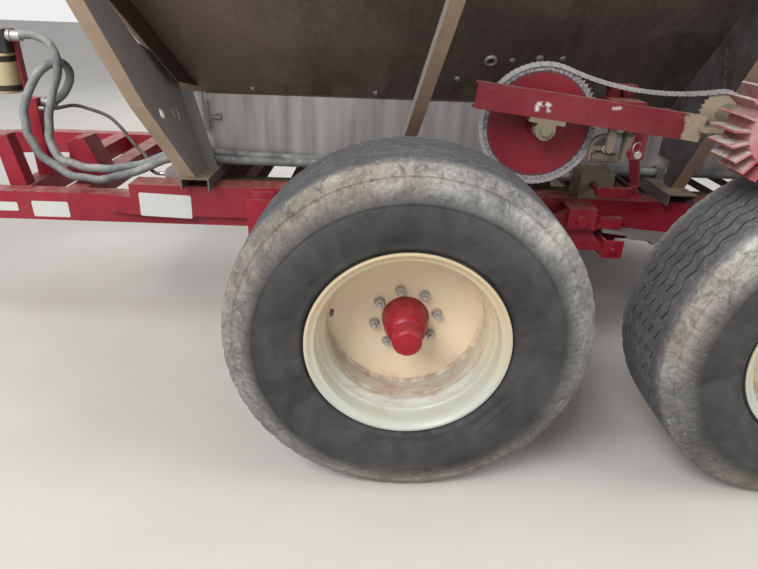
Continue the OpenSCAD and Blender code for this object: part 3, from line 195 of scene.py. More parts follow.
def tube(path: np.ndarray, radius: float | np.ndarray, sides: int = 16, closed: bool = False) -> Shape:
    """A round bar along a path: a circle of the given radius, square to the path, carried along it."""
    ahead = np.roll(path, -1, 0) - np.roll(path, 1, 0)
    if not closed:
        ahead[0], ahead[-1] = path[1] - path[0], path[-1] - path[-2]
    ahead /= np.linalg.norm(ahead, axis=1, keepdims=True)
    side = np.cross(ahead, np.array([0.13, 0.21, 0.97]))
    side /= np.linalg.norm(side, axis=1, keepdims=True)
    lift = np.cross(side, ahead)
    angle = np.arange(sides) * TAU / sides
    size = np.broadcast_to(np.asarray(radius, float), (len(path),))[:, None, None]
    circle = np.cos(angle)[None, :, None] * side[:, None] + np.sin(angle)[None, :, None] * lift[:, None]
    return grid(path[:, None] + size * circle, close_u=closed, close_v=True, caps=not closed)


def hoop(radius: float, wire: float, steps: int = 40, sides: int = 10) -> Shape:
    """A ring of round wire about Y: a circle of radius wire carried round one of the given radius."""
    a, b = np.arange(steps) * TAU / steps, np.arange(sides) * TAU / sides
    out = radius + wire * np.cos(b)[None]
    x, z = out * np.cos(a)[:, None], out * np.sin(a)[:, None]
    points = np.stack([x, np.broadcast_to(wire * np.sin(b), x.shape), z], -1)
    return grid(points, close_u=True, close_v=True)


def evened(points: np.ndarray, step: float) -> np.ndarray:
    """The same bent line with points added, so that no straight stretch of it is longer than step."""
    runs = np.linalg.norm(np.diff(points, axis=0), axis=1)
    shares = [np.arange(math.ceil(r / step)) / math.ceil(r / step) for r in runs]
    parts = [a + (b - a) * s[:, None] for a, b, s in zip(points[:-1], points[1:], shares)]
    return np.concatenate(parts + [points[-1:]])


def smooth_path(points: np.ndarray, steps: int) -> np.ndarray:
    """A Catmull-Rom spline through points: each stretch is a cubic set by its four nearest points."""
    p = np.concatenate([2 * points[:1] - points[1:2], points, 2 * points[-1:] - points[-2:-1]])
    t = np.arange(steps)[None, :, None] / steps
    a, b, c, d = p[:-3, None], p[1:-2, None], p[2:-1, None], p[3:, None]
    curve = 0.5 * (2 * b + (c - a) * t + (2 * a - 5 * b + 4 * c - d) * t**2 + (3 * b - a - 3 * c + d) * t**3)
    return np.concatenate([curve.reshape(-1, 3), points[-1:]])


def prism(outline: np.ndarray, depth: float) -> Shape:
    """A flat outline in X and Z given a depth along Y, from 0 to depth."""
    low = np.stack([outline[:, 0], np.zeros(len(outline)), outline[:, 1]], -1)
    return grid(np.stack([low, low + [0, depth, 0]]), close_v=True, caps=True)


def block(low: Point, high: Point) -> Shape:
    """A box between two corners, as an outline in X and Z carried along Y."""
    (x0, y0, z0), (x1, y1, z1) = low, high
    return prism(np.array([[x0, z0], [x0, z1], [x1, z1], [x1, z0]]), y1 - y0).moved((0, y0, 0))


def rounded(width: float, height: float, corner: float, steps: int = 6) -> np.ndarray:
    """An outline in X and Z: a rectangle about the origin whose corners are quarter circles."""
    angle = np.linspace(0, TAU / 4, steps)
    centres = np.array([[1, 1], [-1, 1], [-1, -1], [1, -1]]) * [width / 2 - corner, height / 2 - corner]
    arcs = []
    for k, centre in enumerate(centres):
        turned = angle + k * TAU / 4
        arcs.append(centre + corner * np.stack([np.cos(turned), np.sin(turned)], -1))
    return np.concatenate(arcs)


def hexagon(across: float, low: float, high: float) -> Shape:
    """A hexagonal head about Y from low to high: a chamfered outline turned in six steps."""
    corner = across / 2 / math.cos(math.pi / 6)
    cut = (high - low) * 0.2
    return revolved([(0, low), (corner, low), (corner, high - cut), (corner * 0.88, high), (0, high)], 6)


def bolt(across: float, height: float, stud: float = 0.0, washer: float = 1.3) -> Shape:
    """A washer with a hexagonal head or nut on it, and the end of its stud standing out, about Y from 0."""
    plate, r = height * 0.18, across / 2 * washer
    parts = [revolved([(0, 0), (r, 0), (r, plate * 0.8), (r * 0.95, plate), (0, plate)], 24),
             hexagon(across, plate, height)]
    if stud:
        r, tip = across * 0.29, height + stud
        chamfered = [(0, height), (r, height), (r, height + stud * 0.8), (r * 0.8, tip), (0, tip)]
        parts.append(revolved(chamfered, 16))
    return joined(*parts)


# Pieces: shapes put into the scene

# The angle in degrees from which an edge is rounded
BEVEL_FROM = 40


def closed_mesh(name: str, work: bmesh.types.BMesh) -> Mesh:
    """A mesh from worked faces, with doubled points merged and every face turned outwards."""
    bmesh.ops.remove_doubles(work, verts=work.verts, dist=1e-6)
    bmesh.ops.dissolve_degenerate(work, edges=work.edges, dist=1e-7)
    bmesh.ops.recalc_face_normals(work, faces=work.faces)
    mesh = bpy.data.meshes.new(name)
    work.to_mesh(mesh)
    work.free()
    return mesh


def piece(name: str, shape: Shape, body: str, material: Material, smooth: float = 35.0,
          replaces: tuple[str, ...] = (), marks: dict[str, np.ndarray] | None = None,
          bevel: float = 0.0) -> None:
    """Puts a shape into the scene as a piece of the spreader, at the origin and unturned.

    Args:
        name: The piece's name.
        shape: Its points and faces, in place.
        body: The body that it moves with.
        material: Its material.
        smooth: The angle in degrees up to which an edge is shaded smooth.
        replaces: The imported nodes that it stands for.
        marks: A number for each point, by the name that the material reads it under.
        bevel: How wide its sharp edges are rounded.
    """
    raw = bpy.data.meshes.new(name)
    faces = [row for f in shape.faces for row in f.tolist()]
    raw.from_pydata(shape.points.tolist(), [], faces)
    for mark, values in (marks or {}).items():
        data = raw.attributes.new(mark, "FLOAT", "POINT").data
        data.foreach_set("value", np.ascontiguousarray(values, float).ravel())
    work = bmesh.new()
    work.from_mesh(raw)
    bpy.data.meshes.remove(raw)
    put(name, closed_mesh(name, work), body, material, smooth, replaces, bevel)


def linked(name: str, data: bpy.types.ID) -> bpy.types.Object:
    """A new object for a mesh, a lamp or a camera, put into the scene."""
    thing = bpy.data.objects.new(name, data)
    bpy.context.scene.collection.objects.link(thing)
    return thing


def put(name: str, mesh: Mesh, body: str, material: Material, smooth: float,
        replaces: tuple[str, ...], bevel: float) -> None:
    """Shades a mesh, makes it an object that rides on a body, and hides the nodes that it replaces."""
    mesh.materials.append(material)
    mesh.shade_smooth()
    mesh.set_sharp_from_angle(angle=math.radians(smooth))
    thing = linked(name, mesh)
    if bevel:
        edge = thing.modifiers.new("edge", "BEVEL")
        edge.width = bevel
        edge.segments = 2
        edge.limit_method = "ANGLE"
        edge.angle_limit = math.radians(BEVEL_FROM)
        edge.harden_normals = False
    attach(thing, body)
    if replaces:
        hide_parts(*replaces)
    LOG.info("piece %s rides on %s, %d faces", name, body, len(mesh.polygons))


def body_of(node: str) -> str:
    """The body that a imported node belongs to."""
    return next(body for body, nodes in frame["record"]["behaviour"]["bodies"].items() if node in nodes)


def stand_in(node: str, shape: Shape, material: Material, smooth: float,
             marks: dict[str, np.ndarray] | None = None) -> None:
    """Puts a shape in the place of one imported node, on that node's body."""
    piece(f"{node}_piece", shape, body_of(node), material, smooth, (node,), marks)


def refined(node: str, material: Material, bevel: float, smooth: float = 30.0) -> None:
    """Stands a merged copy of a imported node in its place, with flat faces joined and edges rounded."""
    name = f"{node}_piece"
    work = bmesh.new()
    work.from_mesh(frame["nodes"][node].data)
    bmesh.ops.remove_doubles(work, verts=work.verts, dist=1e-5)
    bmesh.ops.dissolve_limit(work, angle_limit=math.radians(0.5), verts=work.verts, edges=work.edges)
    put(name, closed_mesh(name, work), body_of(node), material, smooth, (node,), bevel)


# Finishes: node materials


class Wiring:
    """A short way to add nodes to a material and to join them."""

    def __init__(self, name: str) -> None:
        """Starts an empty material with a principled shader and Object coordinates."""
        self.material = bpy.data.materials.new(name)
        self.material.use_nodes = True
        self.tree = self.material.node_tree
        self.shader = self.tree.nodes["Principled BSDF"]
        self.place = self.tree.nodes.new("ShaderNodeTexCoord").outputs["Object"]

    def add(self, kind: str, inputs: dict, **settings: object) -> bpy.types.Node:
        """A node of a kind, with settings on it and its inputs set to values or joined to sockets."""
        node = self.tree.nodes.new(kind)
        for key, value in settings.items():
            setattr(node, key, value)
        for key, value in inputs.items():
            if isinstance(value, Socket):
                self.tree.links.new(value, node.inputs[key])
            else:
                node.inputs[key].default_value = value
        return node

    def stretched(self, scale: Point) -> Socket:
        """Object coordinates scaled along each axis, for streaks."""
        return self.add("ShaderNodeMapping", {"Vector": self.place, "Scale": scale}).outputs[0]

    def noise(self, scale: float, detail: float = 4, rough: float = 0.55, vector: object = None,
              distort: float = 0.0) -> Socket:
        """Fractal noise of a scale, as a factor."""
        inputs = {"Vector": vector or self.place, "Scale": scale, "Detail": detail, "Roughness": rough,
                  "Distortion": distort}
        return self.add("ShaderNodeTexNoise", inputs).outputs[0]

    def step(self, factor: object, low: float, high: float, to: Pair = (0, 1)) -> Socket:
        """A factor spread so that low goes to the first end of a range and high to the other."""
        inputs = {"Value": factor, "From Min": low, "From Max": high, "To Min": to[0], "To Max": to[1]}
        return self.add("ShaderNodeMapRange", inputs, clamp=True).outputs[0]

    def combine(self, how: str, a: object, b: object = 0.0) -> Socket:
        """Two factors put together by a Math operation."""
        return self.add("ShaderNodeMath", {0: a, 1: b}, operation=how).outputs[0]

    def times(self, *factors: object) -> Socket:
        """The product of several factors."""
        product = factors[0]
        for factor in factors[1:]:
            product = self.combine("MULTIPLY", product, factor)
        return product

    def mix(self, factor: object, a: object, b: object) -> Socket:
        """Colour a going over to colour b with the factor."""
        colours = [c if isinstance(c, Socket) else (*c, 1.0) for c in (a, b)]
        node = self.add("ShaderNodeMix", {0: factor, 6: colours[0], 7: colours[1]}, data_type="RGBA")
        return node.outputs[2]

    def facing(self, axis: int) -> Socket:
        """How far the surface faces along an axis, from -1 to 1."""
        normal = self.add("ShaderNodeNewGeometry", {}).outputs["Normal"]
        return self.add("ShaderNodeSeparateXYZ", {0: normal}).outputs[axis]

    def turned_to(self, axis: int, low: float, high: float) -> Socket:
        """One where the surface faces along an axis, either way, going over to nothing between two slants."""
        return self.step(self.combine("ABSOLUTE", self.facing(axis)), low, high)

    def at(self, axis: int) -> Socket:
        """The place along an axis."""
        return self.add("ShaderNodeSeparateXYZ", {0: self.place}).outputs[axis]

    def mark(self, name: str) -> Socket:
        """The number that the piece's points carry under a name."""
        return self.add("ShaderNodeAttribute", {}, attribute_name=name).outputs["Fac"]

    def away(self, middle: Pair) -> Socket:
        """The distance in the XZ plane from a point of it."""
        sides = [self.combine("SUBTRACT", self.at(axis), m) for axis, m in zip((0, 2), middle)]
        squares = [self.combine("MULTIPLY", s, s) for s in sides]
        return self.combine("SQRT", self.combine("ADD", *squares))

    def within(self, axis: int, low: float, high: float, soft: float) -> Socket:
        """One between two places along an axis and nothing outside them, with soft edges."""
        place = self.at(axis)
        return self.times(self.step(place, low - soft, low + soft),
                          self.step(place, high - soft, high + soft, (1, 0)))

    def bump(self, factor: Socket, depth: float, strength: float = 1.0) -> None:
        """Raises the surface by a factor times a depth in metres."""
        node = self.add("ShaderNodeBump", {"Height": factor, "Distance": depth, "Strength": strength})
        self.tree.links.new(node.outputs[0], self.shader.inputs["Normal"])

    def finish(self, colour: object, rough: object, metal: float) -> Material:
        """Joins the colour and the roughness to the shader and sets how metallic it is."""
        for name, value in (("Base Color", colour), ("Roughness", rough)):
            if isinstance(value, Socket):
                self.tree.links.new(value, self.shader.inputs[name])
            elif name == "Base Color":
                self.shader.inputs[name].default_value = (*value, 1.0)
            else:
                self.shader.inputs[name].default_value = value
        self.shader.inputs["Metallic"].default_value = metal
        return self.material


class Dirt(Enum):
    """Colours of what lies on the machine."""

    SAND = (0.46, 0.36, 0.25)
    PINK_DUST = (0.40, 0.20, 0.19)
    GREY_DUST = (0.34, 0.33, 0.31)
    CAKED = (0.27, 0.215, 0.145)
    MUD = (0.12, 0.095, 0.07)
    RUST = (0.17, 0.06, 0.02)
    CHALK = (0.62, 0.60, 0.55)
    BEIGE = (0.36, 0.29, 0.21)


@dataclass(frozen=True)
class Paint:
    """Painted steel: a coat that varies a little, under dust that lies where it faces up, with specks."""

    name: str
    colour: Colour
    deep: Colour
    dust: Dirt = Dirt.SAND
    dust_share: float = 0.22
    film_share: float = 0.075
    specks: float = 0.3
    rough: float = 0.3
    # Boxes (x low, x high, z low, z high) with a dab of white paint
    dabs: tuple[tuple[float, float, float, float], ...] = ()
    # Where a toothed rim wears bare: the middle (x, z), the radius past which the coat is gone, and the teeth
    worn_edge: tuple[float, float, float, int] | None = None
    # Where dust is caked: behind a place along X, or inside a place along Y
    caked_behind: float | None = None
    caked_inside: float | None = None

    def make(self) -> Material:
        """Builds the material: two tones by slow noise, dust by facing, a film, specks, chips and wear."""
        w = Wiring(self.name)
        tone = w.mix(w.step(w.noise(2.7, 3), 0.35, 0.68), self.deep, self.colour)
        facing = w.step(w.facing(2), 0.25, 0.95)
        loose = w.step(w.noise(31.0, 6, 0.7), 0.34, 0.66)
        lying = w.times(facing, loose, self.dust_share * 2)
        film = w.step(w.noise(6.5, 6, 0.66, distort=0.8), 0.4, 0.75, (self.film_share * 0.2, self.film_share))
        tone = w.mix(w.combine("MINIMUM", w.combine("ADD", lying, film), 0.92), tone, self.dust.value)
        speck = w.step(w.noise(140.0, 3, 0.6), 0.66, 0.7, (0, self.specks))
        tone = w.mix(w.times(speck, w.step(w.noise(5.0, 3), 0.4, 0.6)), tone, Dirt.PINK_DUST.value)
        chip = w.step(w.noise(47.0, 8, 0.72), 0.735, 0.75)
        tone = w.mix(chip, tone, Dirt.RUST.value)
        for x0, x1, z0, z1 in self.dabs:
            ragged = w.step(w.noise(60.0, 5), 0.42, 0.5)
            dab = w.times(w.within(0, x0, x1, 0.004), w.within(2, z0, z1, 0.004), ragged)
            tone = w.mix(dab, tone, Dirt.CHALK.value)
        if self.worn_edge:
            tone = self.bare_rim(w, tone, *self.worn_edge)
        if self.caked_behind is not None:
            ragged = w.combine("ADD", w.at(0), w.step(w.noise(16.0, 5, 0.6), 0.3, 0.7, (-0.03, 0.03)))
            back = w.step(ragged, self.caked_behind - 0.015, self.caked_behind, (1, 0))
            tone = self.caked(w, tone, back, (0.55, 0.95))
        if self.caked_inside is not None:
            inner = w.step(w.at(1), self.caked_inside - 0.001, self.caked_inside, (1, 0))
            tone = self.caked(w, tone, inner, (0.7, 1))
        w.bump(w.noise(190.0, 4), 0.0005)
        w.shader.inputs["Specular IOR Level"].default_value = 0.32
        rough = w.step(w.noise(18.0, 5), 0.3, 0.75, (self.rough, min(1.0, self.rough + 0.34)))
        return w.finish(tone, rough, 0.0)

    @staticmethod
    def bare_rim(w: Wiring, tone: object, x: float, z: float, radius: float, teeth: int) -> Socket:
        """A tone that goes over to bare metal past a radius, in step with the teeth, behind a dark line."""
        sides = [w.combine("SUBTRACT", w.at(axis), m) for axis, m in ((2, z), (0, x))]
        tooth = w.combine("SINE", w.times(w.combine("ARCTAN2", *sides), float(teeth)))
        out = w.away((x, z))
        reach = w.combine("ADD", out, w.times(tooth, 0.0035))
        metal = w.mix(w.step(w.noise(150.0, 5, 0.7), 0.4, 0.6), (0.13, 0.11, 0.115), (0.42, 0.38, 0.39))
        line = w.times(w.step(reach, radius - 0.002, radius),
                       w.step(out, radius + 0.003, radius + 0.006, (1, 0)))
        tone = w.mix(w.step(reach, radius - 0.001, radius + 0.001), tone, metal)
        return w.mix(w.times(line, 0.8), tone, (0.03, 0.012, 0.015))

    @staticmethod
    def caked(w: Wiring, tone: object, where: object, share: Pair) -> Socket:
        """A tone under beige dirt where a factor says, thinner in spots."""
        return w.mix(w.times(where, w.step(w.noise(40.0, 6, 0.7), 0.3, 0.5, share)), tone, Dirt.BEIGE.value)


@dataclass(frozen=True)
class Stainless:
    """Stained stainless sheet: brown film in runs down it, grain and specks, and other tones by facing, partly
    painted light and shade.
    """

    name: str
    clean: Colour
    stained: Colour
    stain: float
    streak: Point = (3.4, 2.6, 0.4)
    rough: float = 0.36
    metal: float = 0.55
    # Colours below a height, where another sheet starts
    below: float = 0.0
    below_clean: Colour = (0.42, 0.41, 0.42)
    below_stained: Colour = (0.30, 0.27, 0.25)
    # Where along X painted light starts: the sheet is painted lighter towards its front, where the sun falls
    painted_sun_from: float | None = None
    # Colour of painted shade on what faces forward or back, and of painted light on what faces out to the side
    shaded_end_face: Colour | None = None
    lit_side_face: Colour | None = None
    side_from: float = 0.53
    # Colour of what faces forward or back behind a place along X
    rear_face: Colour | None = None
    rear_from: float = -1.15

    def make(self) -> Material:
        """Builds the material: a film by stretched noise over fine grain lines, painted light towards the
        front, then specks and dust.
        """
        w = Wiring(self.name)
        runs = w.noise(3.0, 7, 0.62, w.stretched(self.streak), 0.3)
        broad = w.noise(1.0, 3, 0.5)
        film = w.times(w.step(runs, 0.3, 0.66), w.step(broad, 0.3, 0.62, (0.5, 1)), self.stain)
        tone = w.mix(film, self.clean, self.stained)
        # Painted light: the sheet gets lighter towards its front, for the part that the sun falls on
        if self.painted_sun_from is not None:
            front = w.step(w.at(0), self.painted_sun_from, self.painted_sun_from + 0.4, (0, 0.75))
            tone = w.mix(front, tone, w.mix(runs, (0.20, 0.14, 0.11), (0.34, 0.26, 0.21)))
        smear = w.times(w.step(w.noise(2.1, 3, 0.4, distort=1.6), 0.56, 0.62),
                        w.step(w.noise(26.0, 4), 0.3, 0.7, (0.05, 0.3)))
        tone = w.mix(smear, tone, (0.30, 0.26, 0.22))
        if self.below:
            under = w.step(w.at(2), self.below - 0.001, self.below + 0.001, (1, 0))
            long_runs = w.step(w.noise(5.0, 6, 0.6, w.stretched((3.0, 3.0, 0.3))), 0.35, 0.68)
            tone = w.mix(under, tone, w.mix(long_runs, self.below_clean, self.below_stained))
        fine = w.step(w.noise(90.0, 6, 0.7, w.stretched((1.0, 1.0, 0.05))), 0.42, 0.75, (0, 0.16))
        tone = self.by_facing(w, w.mix(fine, tone, (0.50, 0.45, 0.40)))
        speck = w.step(w.noise(130.0, 4, 0.7), 0.68, 0.72, (0, 0.5))
        tone = w.mix(w.times(speck, w.step(w.noise(3.0), 0.4, 0.6)), tone, Dirt.CHALK.value)
        dusty = w.times(w.step(w.facing(2), 0.6, 0.98), w.step(w.noise(30.0, 5, 0.7), 0.3, 0.6), 0.75)
        tone = w.mix(dusty, tone, Dirt.SAND.value)
        rough = w.step(runs, 0.3, 0.7, (self.rough, self.rough + 0.28))
        w.bump(w.noise(210.0, 3, 0.6, w.stretched((1.0, 1.0, 0.05))), 0.0003)
        return w.finish(tone, rough, self.metal)

    def by_facing(self, w: Wiring, tone: object) -> object:
        """A tone with painted shade on end faces, painted light on outer faces, and a darker tone on the rear
        supports.
        """
        if self.shaded_end_face:
            # Painted shade: faces turned along X get a dark brown, as faces in shadow
            end_shade = w.mix(w.step(w.noise(7.0, 6, 0.7), 0.35, 0.7), self.shaded_end_face, self.stained)
            tone = w.mix(w.turned_to(0, 0.6, 0.9), tone, end_shade)
        if self.lit_side_face:
            # Painted light: faces turned out to the side get a light tan, as in sunlight, with brown stain in
            # spots
            away = w.step(w.combine("ABSOLUTE", w.at(1)), self.side_from, self.side_from + 0.01)
            outer = w.times(w.turned_to(1, 0.5, 0.8), away)
            tone = w.mix(outer, tone, w.mix(w.noise(8.0, 5), self.lit_side_face, (0.24, 0.17, 0.12)))
        if self.rear_face:
            # Faces turned along X behind rear_from get a darker grey, near black in spots
            plate = w.times(w.step(w.at(0), self.rear_from - 0.01, self.rear_from, (1, 0)),
                            w.turned_to(0, 0.6, 0.9))
            rear_dark = w.mix(w.step(w.noise(9.0, 6, 0.65), 0.35, 0.68), self.rear_face, (0.04, 0.032, 0.028))
            tone = w.mix(plate, tone, rear_dark)
        return tone


@dataclass(frozen=True)
class TyreRubber:
    """A worn tyre: near black on the sidewall, dusty over the shoulder, blue grey on the tread, with painted
    shade in its grooves.
    """

    name: str
    wall: Colour = (0.022, 0.021, 0.021)
    scuffed: Colour = (0.062, 0.061, 0.060)
    tread: Colour = (0.090, 0.094, 0.105)
    # Painted shade: the near black of the grooves and slots
    groove: Colour = (0.012, 0.012, 0.013)
    shoulder_from: float = 0.452
    tread_from: float = 0.546

    def make(self) -> Material:
        """Builds the material from the points' radius: wall, dusty shoulder, tread, and painted shade in the
        grooves.
        """
        w = Wiring(self.name)
        radius = w.mark("radius")
        cloudy = w.step(w.noise(5.2, 7, 0.68, distort=0.6), 0.38, 0.7)
        tone = w.mix(cloudy, self.wall, self.scuffed)
        hair = w.step(w.noise(95.0, 6, 0.75, distort=1.2), 0.6, 0.7, (0, 0.3))
        tone = w.mix(hair, tone, (0.20, 0.20, 0.20))
        on_tread = w.step(radius, self.tread_from, self.tread_from + 0.004)
        tread = w.mix(w.step(w.noise(30.0, 6, 0.7), 0.35, 0.7), self.tread, (0.045, 0.048, 0.055))
        tone = w.mix(on_tread, tone, tread)
        ring = w.times(w.step(radius, self.shoulder_from, self.shoulder_from + 0.05),
                       w.step(radius, self.tread_from + 0.003, self.tread_from + 0.0065, (1, 0.16)))
        patch = w.times(w.step(w.noise(2.6, 3, 0.5), 0.4, 0.62, (0.45, 1)),
                        w.step(w.at(2), 0.25, 0.75, (0.55, 1)))
        grain = w.step(w.noise(21.0, 9, 0.82, distort=1.4), 0.30, 0.60)
        dust = w.mix(w.step(w.noise(1.7, 3), 0.45, 0.6), (0.66, 0.63, 0.57), (0.36, 0.30, 0.23))
        tone = w.mix(w.times(ring, patch, grain, 0.82), tone, dust)
        scratch = w.step(w.noise(40.0, 8, 0.8, distort=3.0), 0.56, 0.64, (0, 0.6))
        tone = w.mix(w.times(scratch, w.step(radius, 0.45, 0.5)), tone, (0.50, 0.50, 0.48))
        # Painted shade: grooves and slots darkened by their depth
        sunk = w.times(w.step(w.mark("depth"), 0.001, 0.004), 0.92)
        tone = w.mix(sunk, tone, self.groove)
        low = w.times(w.step(w.at(2), 0.0, 0.16, (0.5, 0)), w.step(w.noise(26.0, 6, 0.7), 0.36, 0.6))
        tone = w.mix(low, tone, Dirt.CAKED.value)
        rough = w.step(w.noise(26.0, 5), 0.3, 0.7, (0.5, 0.9))
        w.bump(w.noise(150.0, 6, 0.75, distort=0.6), 0.0014)
        return w.finish(tone, rough, 0.0)


@dataclass(frozen=True)
class RimPaint:
    """Cream paint on a wheel: a lighter tan on its disc, partly painted light, paler and greyer low on the rim
    as painted light, streaked with red-brown dust low in its barrel.
    """

    name: str
    colour: Colour = (0.62, 0.50, 0.32)
    # Painted light: the tone low on the rim, paler and greyer than the colour higher up
    low_barrel_light: Colour = (0.48, 0.50, 0.43)
    # The disc's tan, painted lighter to stand for light on a disc that lies in shade
    disc: Colour = (0.80, 0.655, 0.455)
    streak: Colour = (0.30, 0.17, 0.13)

    def make(self) -> Material:
        """Builds the material from the points' radius and their height over the axle."""
        w = Wiring(self.name)
        radius, lift = w.mark("radius"), w.mark("lift")
        # Painted light: paler and greyer low on the rim, warmer high on it
        tone = w.mix(w.step(lift, -0.16, 0.12, (1, 0)), self.colour, self.low_barrel_light)
        # The disc's own tan, painted lighter as painted light
        tone = w.mix(w.step(radius, 0.246, 0.2525, (1, 0)), tone, self.disc)
        tone = w.mix(w.step(w.noise(9.0, 5), 0.4, 0.75, (0, 0.2)), tone, (0.50, 0.42, 0.29))
        low = w.times(w.step(lift, -0.26, 0.02, (1, 0)), w.step(radius, 0.20, 0.25),
                      w.step(radius, 0.262, 0.28, (1, 0.1)))
        smear = w.step(w.noise(6.0, 8, 0.72, w.stretched((1.0, 2.4, 1.0)), 0.9), 0.47, 0.66, (0, 0.75))
        tone = w.mix(w.times(low, smear), tone, self.streak)
        weld = w.times(w.step(radius, 0.232, 0.243), w.step(radius, 0.2515, 0.2525, (1, 0)),
                       w.step(lift, -0.16, 0.1, (0.75, 0)))
        tone = w.mix(w.times(weld, w.step(w.noise(19.0, 7, 0.7), 0.38, 0.6)), tone, self.streak)
        speck = w.step(w.noise(60.0, 6, 0.7), 0.69, 0.71, (0, 0.6))
        tone = w.mix(speck, tone, (0.25, 0.18, 0.12))
        w.bump(w.noise(120.0, 3), 0.0003)
        return w.finish(tone, w.step(w.noise(14.0), 0.3, 0.7, (0.3, 0.5)), 0.0)


@dataclass(frozen=True)
class Rubber:
    """Hose rubber: grey where scuffed, with chalky dust, most on top."""

    name: str
    dark: Colour
    worn: Colour
    dust: Dirt
    dust_share: float
    rough: float = 0.6

    def make(self) -> Material:
        """Builds the material from noises for scuffs, pores and dust."""
        w = Wiring(self.name)
        tone = w.mix(w.step(w.noise(9.0, 6, 0.65), 0.36, 0.68), self.dark, self.worn)
        top = w.step(w.facing(2), -0.3, 0.8, (0.25, 1))
        patch = w.step(w.noise(12.0, 7, 0.7, distort=0.8), 0.4, 0.66, (0, self.dust_share))
        tone = w.mix(w.times(top, patch), tone, self.dust.value)
        speck = w.step(w.noise(170.0, 4, 0.7), 0.62, 0.75, (0, 0.4))
        tone = w.mix(speck, tone, self.dust.value)
        w.bump(w.noise(260.0, 5, 0.7), 0.0006)
        return w.finish(tone, w.step(w.noise(30.0, 5), 0.3, 0.7, (self.rough, 0.92)), 0.0)


@dataclass(frozen=True)
class Cast:
    """Bare or dusty iron: a dull metal under caked dust, with rust in its hollows."""

    name: str
    metal: Colour
    cake: Dirt
    cake_share: float
    rust_share: float = 0.25
    rough: float = 0.5
    shine: float = 0.7

    def make(self) -> Material:
        """Builds the material: metal, then rust and caked dust by two noises, with a grainy bump."""
        w = Wiring(self.name)
        rusty = w.step(w.noise(26.0, 6, 0.7), 0.5, 0.72, (0, self.rust_share))
        tone = w.mix(rusty, self.metal, Dirt.RUST.value)
        caked = w.step(w.noise(14.0, 7, 0.68, distort=0.5), 0.3, 0.6,
                       (self.cake_share * 0.4, self.cake_share))
        tone = w.mix(caked, tone, self.cake.value)
        grain = w.step(w.noise(90.0, 6, 0.75), 0.35, 0.7, (0, 0.35))
        tone = w.mix(grain, tone, Dirt.MUD.value)
        w.bump(w.noise(170.0, 6, 0.7), 0.0010)
        rough = w.step(caked, 0.0, 1.0, (self.rough, 0.92))
        return w.finish(tone, rough, self.shine * (1 - 0.7 * self.cake_share))


